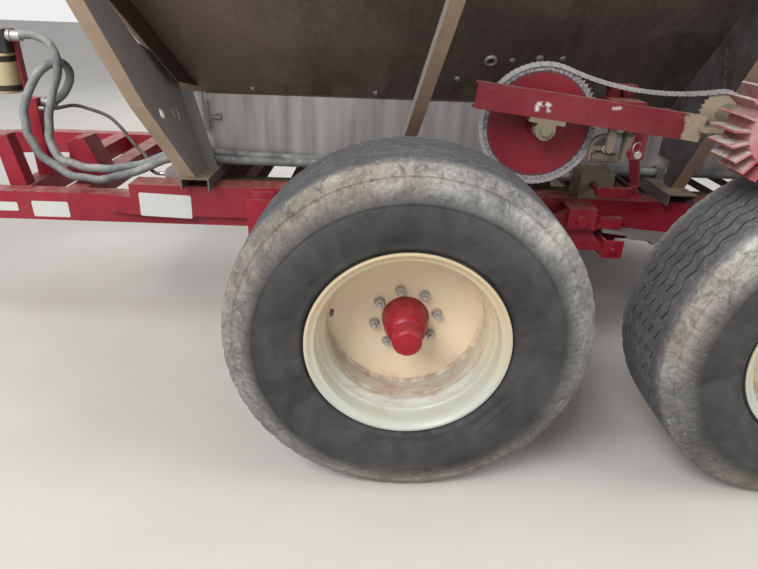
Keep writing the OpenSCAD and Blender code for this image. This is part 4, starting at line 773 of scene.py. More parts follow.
class Finishes:
    """Every material of the spreader, made once."""

    def __init__(self) -> None:
        """Builds them all."""
        red, deep = (0.34, 0.006, 0.030), (0.23, 0.004, 0.020)
        white_dabs = ((-0.725, -0.715, 1.184, 1.208), (-0.718, -0.682, 1.202, 1.212),
                      (-0.690, -0.679, 1.186, 1.205), (-0.935, -0.908, 1.199, 1.206))
        self.red = Paint("red_paint", red, deep).make()
        self.arm = Paint("arm_paint", (0.21, 0.007, 0.022), (0.14, 0.005, 0.016), film_share=0.08, specks=0.6,
                         dabs=white_dabs, caked_behind=-1.135).make()
        self.sprocket = Paint("sprocket_paint", (0.26, 0.005, 0.022), (0.17, 0.004, 0.016), film_share=0.05,
                              worn_edge=(-0.72, 1.13, 0.159, 72)).make()
        self.roller = Paint("roller_paint", (0.42, 0.03, 0.055), deep, Dirt.CHALK, 0.6, 0.55, rough=0.5,
                            caked_inside=0.885).make()
        self.hub = Paint("hub_paint", (0.38, 0.004, 0.022), (0.24, 0.003, 0.014), dust_share=0.06,
                         film_share=0.02, specks=0.0, rough=0.22).make()
        self.rim = RimPaint("rim_paint").make()
        # The hopper: painted light towards its front, painted shade on its end faces
        self.hopper = Stainless("hopper_sheet", (0.175, 0.140, 0.120), (0.052, 0.037, 0.029), 0.95,
                                below=1.1275, below_clean=(0.52, 0.49, 0.49), painted_sun_from=0.05,
                                shaded_end_face=(0.075, 0.045, 0.03)).make()
        self.sheet = Stainless("spread_sheet", (0.40, 0.38, 0.37), (0.17, 0.13, 0.10), 0.6).make()
        # The support plates: painted light on their outer faces
        self.plate = Stainless("support_plate", (0.30, 0.28, 0.262), (0.20, 0.182, 0.165), 0.6, rough=0.45,
                               metal=0.2, lit_side_face=(0.50, 0.37, 0.26),
                               rear_face=(0.115, 0.108, 0.106)).make()
        self.rear_plate = Stainless("rear_support_plate", (0.16, 0.145, 0.13), (0.085, 0.072, 0.06), 0.7,
                                    rough=0.5, metal=0.25).make()
        self.tyre = TyreRubber("tyre_rubber").make()
        self.hose = Rubber("hose_rubber", (0.10, 0.11, 0.105), (0.22, 0.235, 0.225),
                           Dirt.CHALK, 0.55, 0.5).make()
        self.line = Rubber("line_rubber", (0.02, 0.02, 0.02), (0.07, 0.065, 0.06), Dirt.SAND, 0.3, 0.5).make()
        self.steel = Cast("bare_steel", (0.34, 0.33, 0.32), Dirt.GREY_DUST, 0.5, 0.25, 0.4, 0.85).make()
        self.zinc = Cast("zinc_plate", (0.58, 0.57, 0.54), Dirt.GREY_DUST, 0.25, 0.05, 0.32, 0.9).make()
        self.chain = Cast("chain_steel", (0.36, 0.36, 0.37), Dirt.CHALK, 0.45, 0.08, 0.45, 0.8).make()
        self.spring = Cast("spring_steel", (0.20, 0.15, 0.13), Dirt.CAKED, 0.5, 0.4, 0.6, 0.4).make()
        self.dusty = Cast("dusty_iron", (0.24, 0.20, 0.15), Dirt.CAKED, 0.9, 0.2).make()
        self.burn = Cast("weld_burn", (0.055, 0.035, 0.025), Dirt.MUD, 0.5, 0.5, 0.6, 0.3).make()
        self.black = Paint("black_paint", (0.02, 0.02, 0.021), (0.012, 0.012, 0.013), dust_share=0.3).make()
        self.canister = Paint("filter_coat", (0.60, 0.50, 0.30), (0.50, 0.41, 0.24), dust_share=0.25,
                              specks=0.1).make()
        self.label = Paint("label_film", (0.64, 0.64, 0.62), (0.56, 0.57, 0.56), dust_share=0.2,
                           film_share=0.14, specks=0.1, rough=0.35).make()


# Sub-assemblies


@dataclass
class Wheel:
    """One wheel: a worn tyre with zig-zag grooves, a deep rim with a welded disc, and a hub with nuts."""

    finishes: Finishes
    name: str
    left: bool
    # Steps, groove periods and flutes round the tyre
    segments: int = 576
    pitches: int = 48
    flutes: int = 144
    # The tread: its greatest radius, how far it drops at half its width, and where the crown starts
    crown: float = 0.554
    crown_drop: float = 0.003
    half_width: float = 0.16
    crown_from: float = 0.5519
    # The grooves' places across, half their widths at the lip and at the floor, their depth and their sway
    grooves: tuple[float, ...] = (0.084, 0.042, 0.0, -0.042, -0.084)
    lands: tuple[float, ...] = (0.105, 0.063, 0.021, -0.021, -0.063, -0.105)
    lip: float = 0.004
    floor: float = 0.0029
    groove_depth: float = 0.005
    sway: float = 0.007
    # Where the sway has faded, and over what width it fades
    sway_end: Pair = (0.126, 0.021)
    # The slots' depth, the radius and the place across that they start at, their end and its width, and
    # half their length and its slope as shares of a pitch
    slot_depth: float = 0.0035
    slot_from: Pair = (0.535, 0.132)
    slot_end: Pair = (0.167, 0.006)
    slot_share: Pair = (0.11, 0.06)
    # The flutes' depth, the radii that they lie between, the middle that they lean about, and the lean
    flute_depth: float = 0.002
    flute_band: Pair = (0.464, 0.515)
    flute_middle: float = 0.49
    flute_lean: float = 3.5
    flute_from: float = 0.172
    # The raised loop: its middle as an angle and a radius, its length and width, and its wire
    loop_at: Pair = (math.radians(-141), 0.352)
    loop_size: Pair = (0.165, 0.024)
    loop_wire: float = 0.0011
    # The disc from its inner to its outer face, its bore and its radius, and the nuts on it
    disc: Pair = (-0.025, -0.013)
    disc_r: Pair = (0.0635, 0.2519)
    nuts: int = 8
    nut_circle: float = 0.1015
    nut_turn: float = math.radians(11)
    nut_size: tuple[float, float, float, float] = (0.029, 0.020, 0.012, 1.16)
    valve: Profile = ((0.0, 0.0), (0.0065, 0.0), (0.0065, 0.018), (0.0045, 0.030), (0.0, 0.030))
    valve_at: Point = (0.227, 0.1, 0.08)
    # Sections as (radius, across) in millimetres. The wall runs from its bead to the tread's edge
    wall: Profile = (
        (288, 150), (288, 163), (300, 168), (309, 166), (316, 174), (322, 183), (328, 186), (334, 186),
        (345, 192), (360, 199), (378, 206), (398, 210.5), (418, 210.5), (436, 207), (448, 203), (452, 204.5),
        (456, 203.5), (460, 200), (466, 198.5), (476, 193), (488, 186), (500, 179), (510, 172.5), (514, 171),
        (518, 172.5), (528, 168), (538, 163.5), (545, 160), (548, 157), (549.5, 152), (550.5, 146),
        (551.2, 134), (551.5, 131), (552, 126))
    lining: Profile = ((288, -123), (368, -171), (494, -161), (519, 0), (494, 161), (368, 171), (288, 123))
    rim: Profile = (
        (288, 166), (306, 172), (306, 177), (303, 178), (298, 177.5), (294, 174), (290, 168.5), (284, 165),
        (278, 163), (276.5, 158), (276, 130), (275, 118), (272, 112.5), (268, 110), (266, 104), (262, 96),
        (256, 88), (252.5, 83), (252, 76), (252, 62), (250.5, 60), (250.5, 56), (252, 54), (252, -84),
        (276, -114), (276, -134), (278, -166), (298, -178), (306, -178), (306, -172), (288, -166),
        (286, -138), (262, -118), (262, 88), (286, 118))
    hub: Profile = (
        (35.1, -73), (121, -73), (121, -25.2), (63, -25.2), (63, -13), (76, -13), (76, -8), (74.5, -2),
        (73, 10), (70.5, 37), (60, 75), (54.5, 88), (49, 93), (46, 95.5), (45.5, 98), (45.5, 137),
        (44.5, 143), (41.5, 147.5), (36, 151), (33, 149.5), (30, 150.5), (0, 152), (0, 52), (35.1, 52))

    def build(self) -> None:
        """Makes the tyre, the rim and the hub on the wheel's body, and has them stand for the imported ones."""
        low, high = (np.array(corner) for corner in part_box(f"tyre_{self.name}"))
        self.middle = (low + high) / 2
        self.body = body_of(f"tyre_{self.name}")
        self.tyre()
        self.raised_loop()
        self.rim_and_disc()
        self.hub_and_nuts()

    def placed(self, shape: Shape) -> Shape:
        """A shape made about the axle with its outside towards +Y, put where this wheel is."""
        return (shape if self.left else shape.turned((0, 0, 1), math.pi)).moved(self.middle)

    def columns(self) -> np.ndarray:
        """The tyre's section as (radius, across, groove) in metres, round from the outer bead back to it."""
        edges = [c + d for c in self.grooves for d in (self.lip, self.floor, -self.floor, -self.lip)]
        across = np.sort(np.array([*edges, *self.lands]))[::-1]
        sunk = np.isclose(np.abs(across[:, None] - np.array(self.grooves)[None]), self.floor).any(1)
        height = self.crown - self.crown_drop * (across / self.half_width) ** 2
        top = np.stack([height, across, sunk * 1.0], -1)
        outer, lining = (np.insert(np.array(rows) / 1000, 2, 0.0, axis=1)
                         for rows in (self.wall, self.lining))
        return np.concatenate([outer, top, outer[::-1] * [1, -1, 1], lining])

    def tyre(self) -> None:
        """The tyre: its section turned about the axle, with swaying grooves, slots and flutes.

        A groove's columns sway by a triangle wave of one period per pitch, which fades towards the tread's
        edge. The slots lie half a pitch apart on the two sides. A flute is a ripple in the shoulder.
        """
        radius, across, groove = self.columns().T
        off = np.abs(across)
        angle = (np.arange(self.segments) * TAU / self.segments)[:, None]
        phase = (angle * self.pitches / TAU + 0.5 * (across < 0)) % 1
        wave = 1 - 4 * np.abs((angle * self.pitches / TAU) % 1 - 0.5)
        end, fade = self.sway_end
        on_crown = (radius > self.crown_from) * np.clip((end - off) / fade, 0, 1)
        end, fade = self.slot_end
        edge = (radius > self.slot_from[0]) * (off > self.slot_from[1]) * np.clip((end - off) / fade, 0, 1)
        half, slope = self.slot_share
        slot = edge * np.clip((half - np.abs(phase - 0.5)) / slope, 0, 1)
        low, high = self.flute_band
        ripple = np.clip(np.sin(self.flutes * (angle + self.flute_lean * (radius - self.flute_middle))), 0, 1)
        ripple = ripple * (radius > low) * (radius < high) * (off > self.flute_from)
        out = radius - (self.groove_depth * groove + self.slot_depth * slot)
        y = across + self.sway * wave * on_crown - self.flute_depth * ripple * np.sign(across)
        points = np.stack([out * np.cos(angle), y, out * np.sin(angle)], -1)
        # What the material darkens as painted shade: a groove in full, a slot by a third of its depth
        sunk = self.groove_depth * groove + 0.3 * self.slot_depth * slot
        marks = {"radius": np.tile(radius, self.segments), "depth": sunk.ravel()}
        shape = self.placed(grid(points, close_u=True, close_v=True))
        stand_in(f"tyre_{self.name}", shape, self.finishes.tyre, 38, marks)

    def raised_loop(self) -> None:
        """A plain raised loop on the outer sidewall: a long rounded outline bent round the axle."""
        (middle, radius), (length, width) = self.loop_at, self.loop_size
        loop = rounded(length, width, width / 2.01, 10)
        r = radius + loop[:, 1]
        a = middle + loop[:, 0] / radius
        wall = np.array(self.wall)[7:13] / 1000
        y = np.interp(r, wall[:, 0], wall[:, 1]) + 0.0002
        path = evened(np.stack([r * np.cos(a), y, r * np.sin(a)], -1), 0.006)
        shape = self.placed(tube(path, self.loop_wire, 6, closed=True))
        marks = {"radius": np.full(len(shape.points), 0.36), "depth": np.zeros(len(shape.points))}
        piece(f"tyre_mark_{self.name}", shape, self.body, self.finishes.tyre, 60, marks=marks)

    def rim_and_disc(self) -> None:
        """The rim's rings and its disc, with the weld between them. The material reads radius and height."""
        (low, high), (bore, r) = self.disc, self.disc_r
        weld = [(r, high + 0.006), (0.2505, high + 0.003), (0.248, high + 0.0008), (0.245, high)]
        face = [(bore, low), (r, low), *weld, (bore, high)]
        shape = joined(revolved(np.array(self.rim) / 1000, 144), revolved(face, 144))
        marks = {"radius": np.hypot(shape.points[:, 0], shape.points[:, 2]), "lift": shape.points[:, 2]}
        stand_in(f"rim_{self.name}", self.placed(shape), self.finishes.rim, 32, marks)
        stem = self.placed(revolved(self.valve, 16).moved(self.valve_at))
        piece(f"valve_{self.name}", stem, self.body, self.finishes.line, 40)

    def hub_and_nuts(self) -> None:
        """The hub's turned form, and zinc nuts on its studs."""
        shape = revolved(np.array(self.hub) / 1000, 96)
        stand_in(f"hub_{self.name}", self.placed(shape), self.finishes.hub, 34)
        turn = (np.arange(self.nuts) + 0.5) * TAU / self.nuts + self.nut_turn
        y = np.full(self.nuts, self.disc[1] + 0.0003)
        places = np.stack([np.cos(turn) * self.nut_circle, y, np.sin(turn) * self.nut_circle], -1)
        nuts = bolt(*self.nut_size).on(places.tolist(), [OUTWARD] * self.nuts)
        piece(f"wheel_nuts_{self.name}", self.placed(nuts), self.body, self.finishes.zinc, 40)


@dataclass
class Hydraulics:
    """Hoses and lines with crimped ends, and the filter with its head and bands."""

    finishes: Finishes
    hose: float = 0.016
    line: float = 0.007
    # The filter's place from the tandem's middle, its outline, half its head, and its bands as (low, height)
    filter_at: Pair = (2.260, 0.300)
    canister: Profile = (
        (0, 1.0851), (0.044, 1.0851), (0.050, 1.089), (0.052, 1.096), (0.052, 1.226), (0.050, 1.235),
        (0, 1.235))
    head_half: Pair = (0.0545, 0.0395)
    head_rise: Pair = (1.2355, 1.3245)
    band_r: float = 0.0524
    bands: Profile = ((1.0953, 0.022), (1.2035, 0.022))
    # Routes in millimetres, with X from the tandem's middle
    hoses: tuple[tuple[Point, ...], ...] = (
        ((2204.7, 322, 1300), (2165, 322, 1300), (2130, 328, 1305), (2085, 340, 1303), (2035, 355, 1283),
         (2005, 375, 1240), (2005, 385, 1180), (2035, 392, 1110), (2065, 402, 1020), (2070, 425, 925),
         (2035, 445, 860), (1935, 458, 830), (1830, 460, 828), (1705, 455, 850), (1600, 445, 890),
         (1480, 430, 910), (1350, 425, 895), (900, 422, 880), (0, 422, 880), (-1250, 422, 880),
         (-1390, 424, 868), (-1500, 432, 790), (-1590, 434, 700), (-1700, 432, 628), (-1800, 425, 590),
         (-1950, 380, 568), (-2014, 345, 566)),
        ((2144.7, 286, 1050), (2110, 286, 1050), (2085, 272, 1062), (2055, 266, 1090), (2022, 270, 1140),
         (2012, 290, 1185), (2032, 320, 1210), (2085, 358, 1180), (2130, 385, 1110), (2158, 405, 1035),
         (2155, 420, 945), (2110, 440, 865), (1995, 458, 795), (1875, 470, 785), (1725, 478, 825),
         (1600, 470, 877), (1480, 455, 885), (1350, 461, 880), (900, 460, 876), (180, 466, 876),
         (40, 490, 872), (-9.7, 490, 872)))
    lines: tuple[tuple[Point, ...], ...] = (
        ((2144.7, 320, 1030), (2110, 320, 1030), (2075, 316, 1032), (2020, 285, 1040), (1960, 278, 1026),
         (1890, 278, 1000), (1835, 292, 955), (1780, 325, 900), (1720, 370, 862), (1690, 430, 835),
         (1650, 466, 819),
         (1607.3, 468, 819)),)

    def build(self) -> None:
        """Makes the hoses, the lines, their fittings and the filter."""
        f = self.finishes
        for node, routes, radius, material in (("pressure_hoses", self.hoses, self.hose, f.hose),
                                               ("control_lines", self.lines, self.line, f.line)):
            paths = [self.path(route) for route in routes]
            stand_in(node, joined(*[tube(path, radius, 20) for path in paths]), material, 60)
            ends = [self.end(path, radius) for path in paths + [path[::-1] for path in paths]]
            piece(f"{node}_ends", joined(*ends), body_of(node), f.zinc, 35)
            lengths = [round(float(np.linalg.norm(np.diff(p, axis=0), axis=1).sum()), 3) for p in paths]
            LOG.info("%s are %s m long", node, lengths)
        self.filter()

    @staticmethod
    def path(route: tuple[Point, ...]) -> np.ndarray:
        """A route in row coordinates, as a smooth curve through its points."""
        points = np.array(route) / 1000 + [MIDDLE, 0, 0]
        return evened(smooth_path(evened(points, 0.09), 5), 0.03)

    def end(self, path: np.ndarray, radius: float) -> Shape:
        """A crimped sleeve on the first end of a path, longer on a thicker hose."""
        r, s = radius * 1.28, radius / self.hose
        foot = [(0, 0.001), (r * 0.96, 0.001), (r * 1.06, 0.004), (r * 1.06, 0.017 * s)]
        neck = [(r * 0.86, 0.018 * s), (r * 0.86, 0.022 * s), (r, 0.023 * s)]
        ribs = [(r * (1 if k % 2 else 0.93), (0.028 + 0.005 * k) * s) for k in range(5)]
        rows = [*foot, *neck, *ribs, (r, 0.054 * s), (0, 0.054 * s)]
        return revolved(rows, 18).on([tuple(path[0])], [tuple(path[2] - path[0])])

    def filter(self) -> None:
        """The filter: a canister with black bands under a square head."""
        x, y = self.filter_at[0] + MIDDLE, self.filter_at[1]
        (dx, dy), (low, high) = self.head_half, self.head_rise
        can = upright(revolved(self.canister, 48)).moved((x, y, 0))
        piece("filter_canister", can, "frame", self.finishes.canister, 40,
              ("hydraulic_filter",))
        head = block((x - dx, y - dy, low), (x + dx, y + dy, high))
        piece("filter_head", head, "frame", self.finishes.black, bevel=0.004)
        bands = joined(*[upright(rod(self.band_r, z, z + h, 48)) for z, h in self.bands]).moved((x, y, 0))
        piece("filter_bands", bands, "frame", self.finishes.black, 40)


@dataclass
class GroundDrive:
    """The chain drive from the tyre's roller to the jackshaft, link by link, with its small fittings."""

    finishes: Finishes
    # The jackshaft's place in X and Z, the drive's slope in degrees, and where the chain lies across
    jack: Pair = (-0.72, 1.13)
    angle: float = 6.116
    plane: float = 0.860
    # The sprockets' distance and pitch radii, the idler, the sag's radius and the chain's pitch
    centres: float = 0.563
    large_r: float = 0.181972
    small_r: float = 0.0608
    idler_at: Pair = (-0.207, -0.082)
    idler_r: float = 0.0315
    sag_r: float = 0.95
    pitch: float = 0.015875
    # Points along the large sprocket, the sagging run, the small sprocket and the idler
    arc_steps: tuple[int, int, int, int] = (220, 60, 80, 40)
    # A link's end radius and its plate's thickness, where the inner and the outer plates start, and
    # the roller and the pin as (radius, half length, sides)
    link_r: float = 0.0070
    plate: float = 0.0014
    plates_from: Pair = (0.0062, 0.0078)
    roller: tuple[float, float, int] = (0.0051, 0.0061, 14)
    pin: tuple[float, float, int] = (0.0025, 0.0099, 10)
    # Places of the small fittings on the arm
    idler_nut_at: Point = (-0.9346, 0.9005, 1.0705)
    ring_at: Point = (-1.006, 0.9555, 1.088)
    head_at: Point = (-1.015, 0.9502, 1.065)
    head: Profile = ((0, 0), (0.012, 0), (0.012, 0.004), (0.010, 0.006), (0, 0.006))

    def build(self) -> None:
        """Makes the chain's links and the small fittings of the drive."""
        self.chain()
        self.fittings()

    def to_row(self, flat: np.ndarray) -> np.ndarray:
        """Points of the sprockets' plane, along the drive and square to it, as X and Z of the row frame."""
        a = math.radians(self.angle)
        x = flat[:, 0] * math.cos(a) + flat[:, 1] * math.sin(a)
        z = -flat[:, 0] * math.sin(a) + flat[:, 1] * math.cos(a)
        return np.stack([x + self.jack[0], z + self.jack[1]], -1)

    def in_plane(self, flat: np.ndarray) -> np.ndarray:
        """Points with X and Z given, put in the chain's plane."""
        return np.stack([flat[:, 0], np.full(len(flat), self.plane), flat[:, 1]], -1)

    def route(self) -> np.ndarray:
        """The chain's line: round the large sprocket, the sagging run, the small sprocket and the idler.

        The sagging run is an arc about a point above it. That arc meets both sprockets' pitch circles from
        outside, so its middle lies on the two circles whose radii are the sums of the radii.
        """
        small, idler, big = np.array([-self.centres, 0]), np.array(self.idler_at), self.sag_r + self.large_r
        x = (big**2 - (self.sag_r + self.small_r) ** 2 + self.centres**2) / (2 * self.centres)
        sag = np.array([-x, math.sqrt(big**2 - x * x)])
        leave_top, meet_top = heading(sag), heading(sag - small)
        leave_low = heading(idler) + math.acos((self.large_r + self.idler_r) / np.linalg.norm(idler))
        back = idler - small
        meet_low = heading(back) + TAU - math.acos((self.small_r + self.idler_r) / np.linalg.norm(back))
        arcs = ((np.zeros(2), self.large_r, leave_low, leave_top),
                (sag, self.sag_r, leave_top + math.pi, meet_top + math.pi),
                (small, self.small_r, meet_top, meet_low),
                (idler, self.idler_r, meet_low - math.pi, leave_low + math.pi))
        lines = []
        for (centre, r, start, stop), steps in zip(arcs, self.arc_steps):
            a = np.linspace(start, stop, steps)[:, None]
            lines.append(centre + r * np.concatenate([np.cos(a), np.sin(a)], 1))
        return np.concatenate(lines)

    def link_plate(self) -> Shape:
        """One link's plate: two round ends with a waist between them."""
        half, r = self.pitch / 2, self.link_r
        t = np.linspace(0, math.pi, 6)
        waist = [(-half * 0.3, -r * 0.8), (half * 0.3, -r * 0.8)]
        right = [(half + r * math.sin(a), -r * math.cos(a)) for a in t]
        left = [(-half - r * math.sin(a), r * math.cos(a)) for a in t]
        outline = waist + right + [(half * 0.3, r * 0.8), (-half * 0.3, r * 0.8)] + left
        return prism(np.array(outline), self.plate)

    def chain(self) -> None:
        """Roller-chain links on the route: inner and outer plates in turn, with rollers and pins."""
        line = self.route()
        line = np.concatenate([line, line[:1]])
        run = np.concatenate([[0], np.cumsum(np.linalg.norm(np.diff(line, axis=0), axis=1))])
        count = 2 * round(run[-1] / self.pitch / 2)
        at = np.arange(count) * run[-1] / count
        joints = self.to_row(np.stack([np.interp(at, run, line[:, k]) for k in (0, 1)], -1))
        nearer = np.roll(joints, -1, 0)
        span = nearer - joints
        turns = np.array([np.array(Matrix.Rotation(a, 3, "Y")) for a in -np.arctan2(span[:, 1], span[:, 0])])
        places = self.in_plane((joints + nearer) / 2)
        plate = self.link_plate()
        pairs = []
        for first, inner in enumerate(self.plates_from):
            pair = joined(plate.moved((0, inner, 0)), plate.moved((0, -inner - self.plate, 0)))
            pairs.append(pair.copies(turns[first::2], places[first::2]))
        rolls = joined(*[rod(r, -half, half, sides) for r, half, sides in (self.roller, self.pin)])
        shape = joined(*pairs, rolls.copies(turns, self.in_plane(joints)))
        stand_in("drive_chain", shape, self.finishes.chain, 35)
        LOG.info("the drive chain has %d links", count)

    def fittings(self) -> None:
        """The nut on the idler's bolt, and the ring and the head of the lift link's pin."""
        nut = bolt(0.019, 0.010, 0.004).on([self.idler_nut_at], [OUTWARD])
        ring = hoop(0.017, 0.0018, 40, 8).turned((0, 0, 1), 0.5).moved(self.ring_at)
        head = revolved(self.head, 24).on([self.head_at], [OUTWARD])
        fittings = (("idler_nut", nut, 40), ("link_pin_ring", ring, 60), ("link_pin_head", head, 40))
        for name, shape, smooth in fittings:
            piece(name, shape, "drive_arm", self.finishes.zinc, smooth)


@dataclass
class HopperTrim:
    """Small parts on the hopper: bolts, ports, latch, hanging chain, weld beads and corner edges."""

    finishes: Finishes
    # Where the sloped wall starts in Y and Z, and its slope
    slope_from: Pair = (0.395, 1.128)
    slope: float = math.radians(47.5)
    # Where the front wall starts along X, how far it leans forward for each metre up, and the heights of the
    # corner's edge, its width and its sheet
    front_from: float = 0.472
    front_lean: float = 0.3777
    corner_ends: Pair = (0.99, 1.64)
    corner_size: Pair = (0.085, 0.003)
    # Places on the sloped wall as X and Z, and outlines about the wall's normal
    bolt_spots: Profile = (
        (-0.854, 1.308), (-0.68, 1.295), (-0.50, 1.22), (0.27, 1.15), (-0.2, 1.15), (-0.7, 1.15),
        (-1.2, 1.15))
    port_at: Pair = (-0.605, 1.292)
    port: Profile = ((0.013, 0), (0.023, 0), (0.023, 0.006), (0.021, 0.009), (0.017, 0.010), (0.014, 0.008),
                     (0.013, 0.004))
    lug_at: Pair = (-0.774, 1.305)
    lug: Profile = ((0, 0), (0.014, 0), (0.014, 0.005), (0.011, 0.008), (0, 0.009))
    # The latch: the band's face, the bar and its two feet by their corners out from it, and the knob
    latch_y: float = 0.3953
    latch: tuple[tuple[Point, Point], ...] = (
        ((0.452, 0.010, 0.982), (0.474, 0.016, 1.098)), ((0.456, 0, 1.080), (0.470, 0.012, 1.094)),
        ((0.456, 0, 0.986), (0.470, 0.012, 1.000)))
    knob: Profile = ((0, 0), (0.006, 0), (0.006, 0.030), (0.010, 0.034), (0.011, 0.056), (0.008, 0.062),
                     (0, 0.062))
    knob_at: Point = (0.464, 0.013, 1.035)
    # The hanging chain: its links, its upper end, how it goes on to its lower end, and its lean in degrees
    links: int = 7
    chain_from: Point = (-1.362, 0.676, 1.353)
    chain_run: Pair = (0.042, 0.096)
    chain_lean: float = 23.6
    # The weld bead along the fold: its ends along X and the length of a ripple
    seam: tuple[float, float, float] = (-1.27, 0.47, 0.012)

    def on_slope(self, x: float, z: float, out: float = 0.0) -> Point:
        """The point of the sloped wall's outside at x and z, carried out along the wall's normal."""
        y = self.slope_from[0] + (z - self.slope_from[1]) / math.tan(self.slope)
        return (x, y + out * math.sin(self.slope), z - out * math.cos(self.slope))

    def trim(self, name: str, shape: Shape, material: Material, smooth: float = 35.0,
             bevel: float = 0.0) -> None:
        """Puts a small part on the hopper."""
        piece(name, shape, "frame", material, smooth, bevel=bevel)

    def build(self) -> None:
        """Makes the trim: the ports, the latch and the chain on the left, the rest on both sides."""
        f = self.finishes
        aim = (0, math.sin(self.slope), -math.cos(self.slope))
        spots = [self.on_slope(x, z, 0.0006) for x, z in self.bolt_spots]
        heads = bolt(0.016, 0.008, 0.0, 1.35).on(spots, [aim] * len(spots))
        self.trim("wall_bolts", both_sides(heads), f.steel, 40)
        ports = [revolved(rows, sides).on([self.on_slope(*at, 0.0004)], [aim])
                 for rows, sides, at in ((self.port, 40, self.port_at), (self.lug, 28, self.lug_at))]
        self.trim("wall_ports", joined(*ports), f.sheet, 40)
        self.latch_and_knob()
        self.hanging_chain()
        self.seams()
        self.corner()

    def latch_and_knob(self) -> None:
        """A flat bar with a knob on the band under the slope."""
        y = self.latch_y
        boxes = [block((x0, y + y0, z0), (x1, y + y1, z1)) for (x0, y0, z0), (x1, y1, z1) in self.latch]
        self.trim("latch_bar", joined(*boxes), self.finishes.sheet, bevel=0.002)
        x, out, z = self.knob_at
        knob = revolved(self.knob, 20).on([(x, y + out, z)], [(-1, 0, 0)])
        self.trim("latch_knob", knob, self.finishes.steel, 40)

    def hanging_chain(self) -> None:
        """A short chain that hangs behind a leg, each link turned a quarter from the one before."""
        at = np.linspace(0, 1, self.links)
        (x, y, z), (out, down) = self.chain_from, self.chain_run
        places = np.stack([np.full(self.links, x), y + out * at, z - down * at], -1)
        link = hoop(0.0085, 0.0022, 20, 7)
        stretch = Shape(link.points * [1.0, 1.0, 1.5], link.faces)
        lean, quarter = (np.array(Matrix.Rotation(math.radians(a), 3, axis))
                         for a, axis in ((self.chain_lean, "X"), (90, "Z")))
        turns = np.array([lean @ (quarter if k % 2 else np.eye(3)) for k in range(self.links)])
        piece("hanging_chain", stretch.copies(turns, places), "frame", self.finishes.burn, 60)

    def corner(self) -> None:
        """The side wall's sheet carried past the leaning front wall as a folded edge, on both sides."""
        low, high = self.corner_ends
        heights = np.array([low, self.slope_from[1], high])
        rise = np.maximum(heights - self.slope_from[1], 0)
        y = self.slope_from[0] + rise / math.tan(self.slope)
        x = self.front_from + rise * self.front_lean
        width, sheet = self.corner_size
        section = ((0, 0), (width, 0), (width, sheet), (0, sheet))
        rings = [np.stack([x + dx, y - dy, heights], -1) for dx, dy in section]
        fold = grid(np.stack(rings, 1), close_v=True, caps=True)
        self.trim("corner_edges", both_sides(fold), self.finishes.hopper, 30)

    def seams(self) -> None:
        """A weld bead along the fold between the band and the slope."""
        x = np.arange(*self.seam)
        y, z = self.slope_from
        fold = np.stack([x, np.full(len(x), y + 0.0006), np.full(len(x), z - 0.0006)], -1)
        wave = 0.0036 + 0.0006 * np.cos(np.arange(len(x)) * 2.4)
        self.trim("fold_seams", both_sides(tube(fold, wave, 8)), self.finishes.burn, 60)


@dataclass
class Labels:
    """Blank plates where the real machine has its plates and stickers."""

    finishes: Finishes
    corner: float = 0.006
    sheet: float = 0.0008
    # Name, middle along X, height and place across, then width, height and turn in degrees
    plates: tuple[tuple[str, float, float, float, float, float, float], ...] = (
        ("rail_plate", 0.5975, 0.7295, 0.6001, 0.199, 0.093, -2.0),
        ("beam_plate", 1.0625, 0.6895, 0.5701, 0.142, 0.063, 0.0),
        ("beam_plate_small", 1.245, 0.696, 0.5701, 0.110, 0.036, 0.0))

    def build(self) -> None:
        """Makes each plate as a thin rounded sheet on its face, with the face's own small turn."""
        for name, x, z, y, width, height, turn in self.plates:
            sheet = prism(rounded(width, height, self.corner), self.sheet)
            sheet = sheet.turned((0, 1, 0), math.radians(turn)).moved((x, y, z))
            piece(name, sheet, "frame", self.finishes.label, 40)


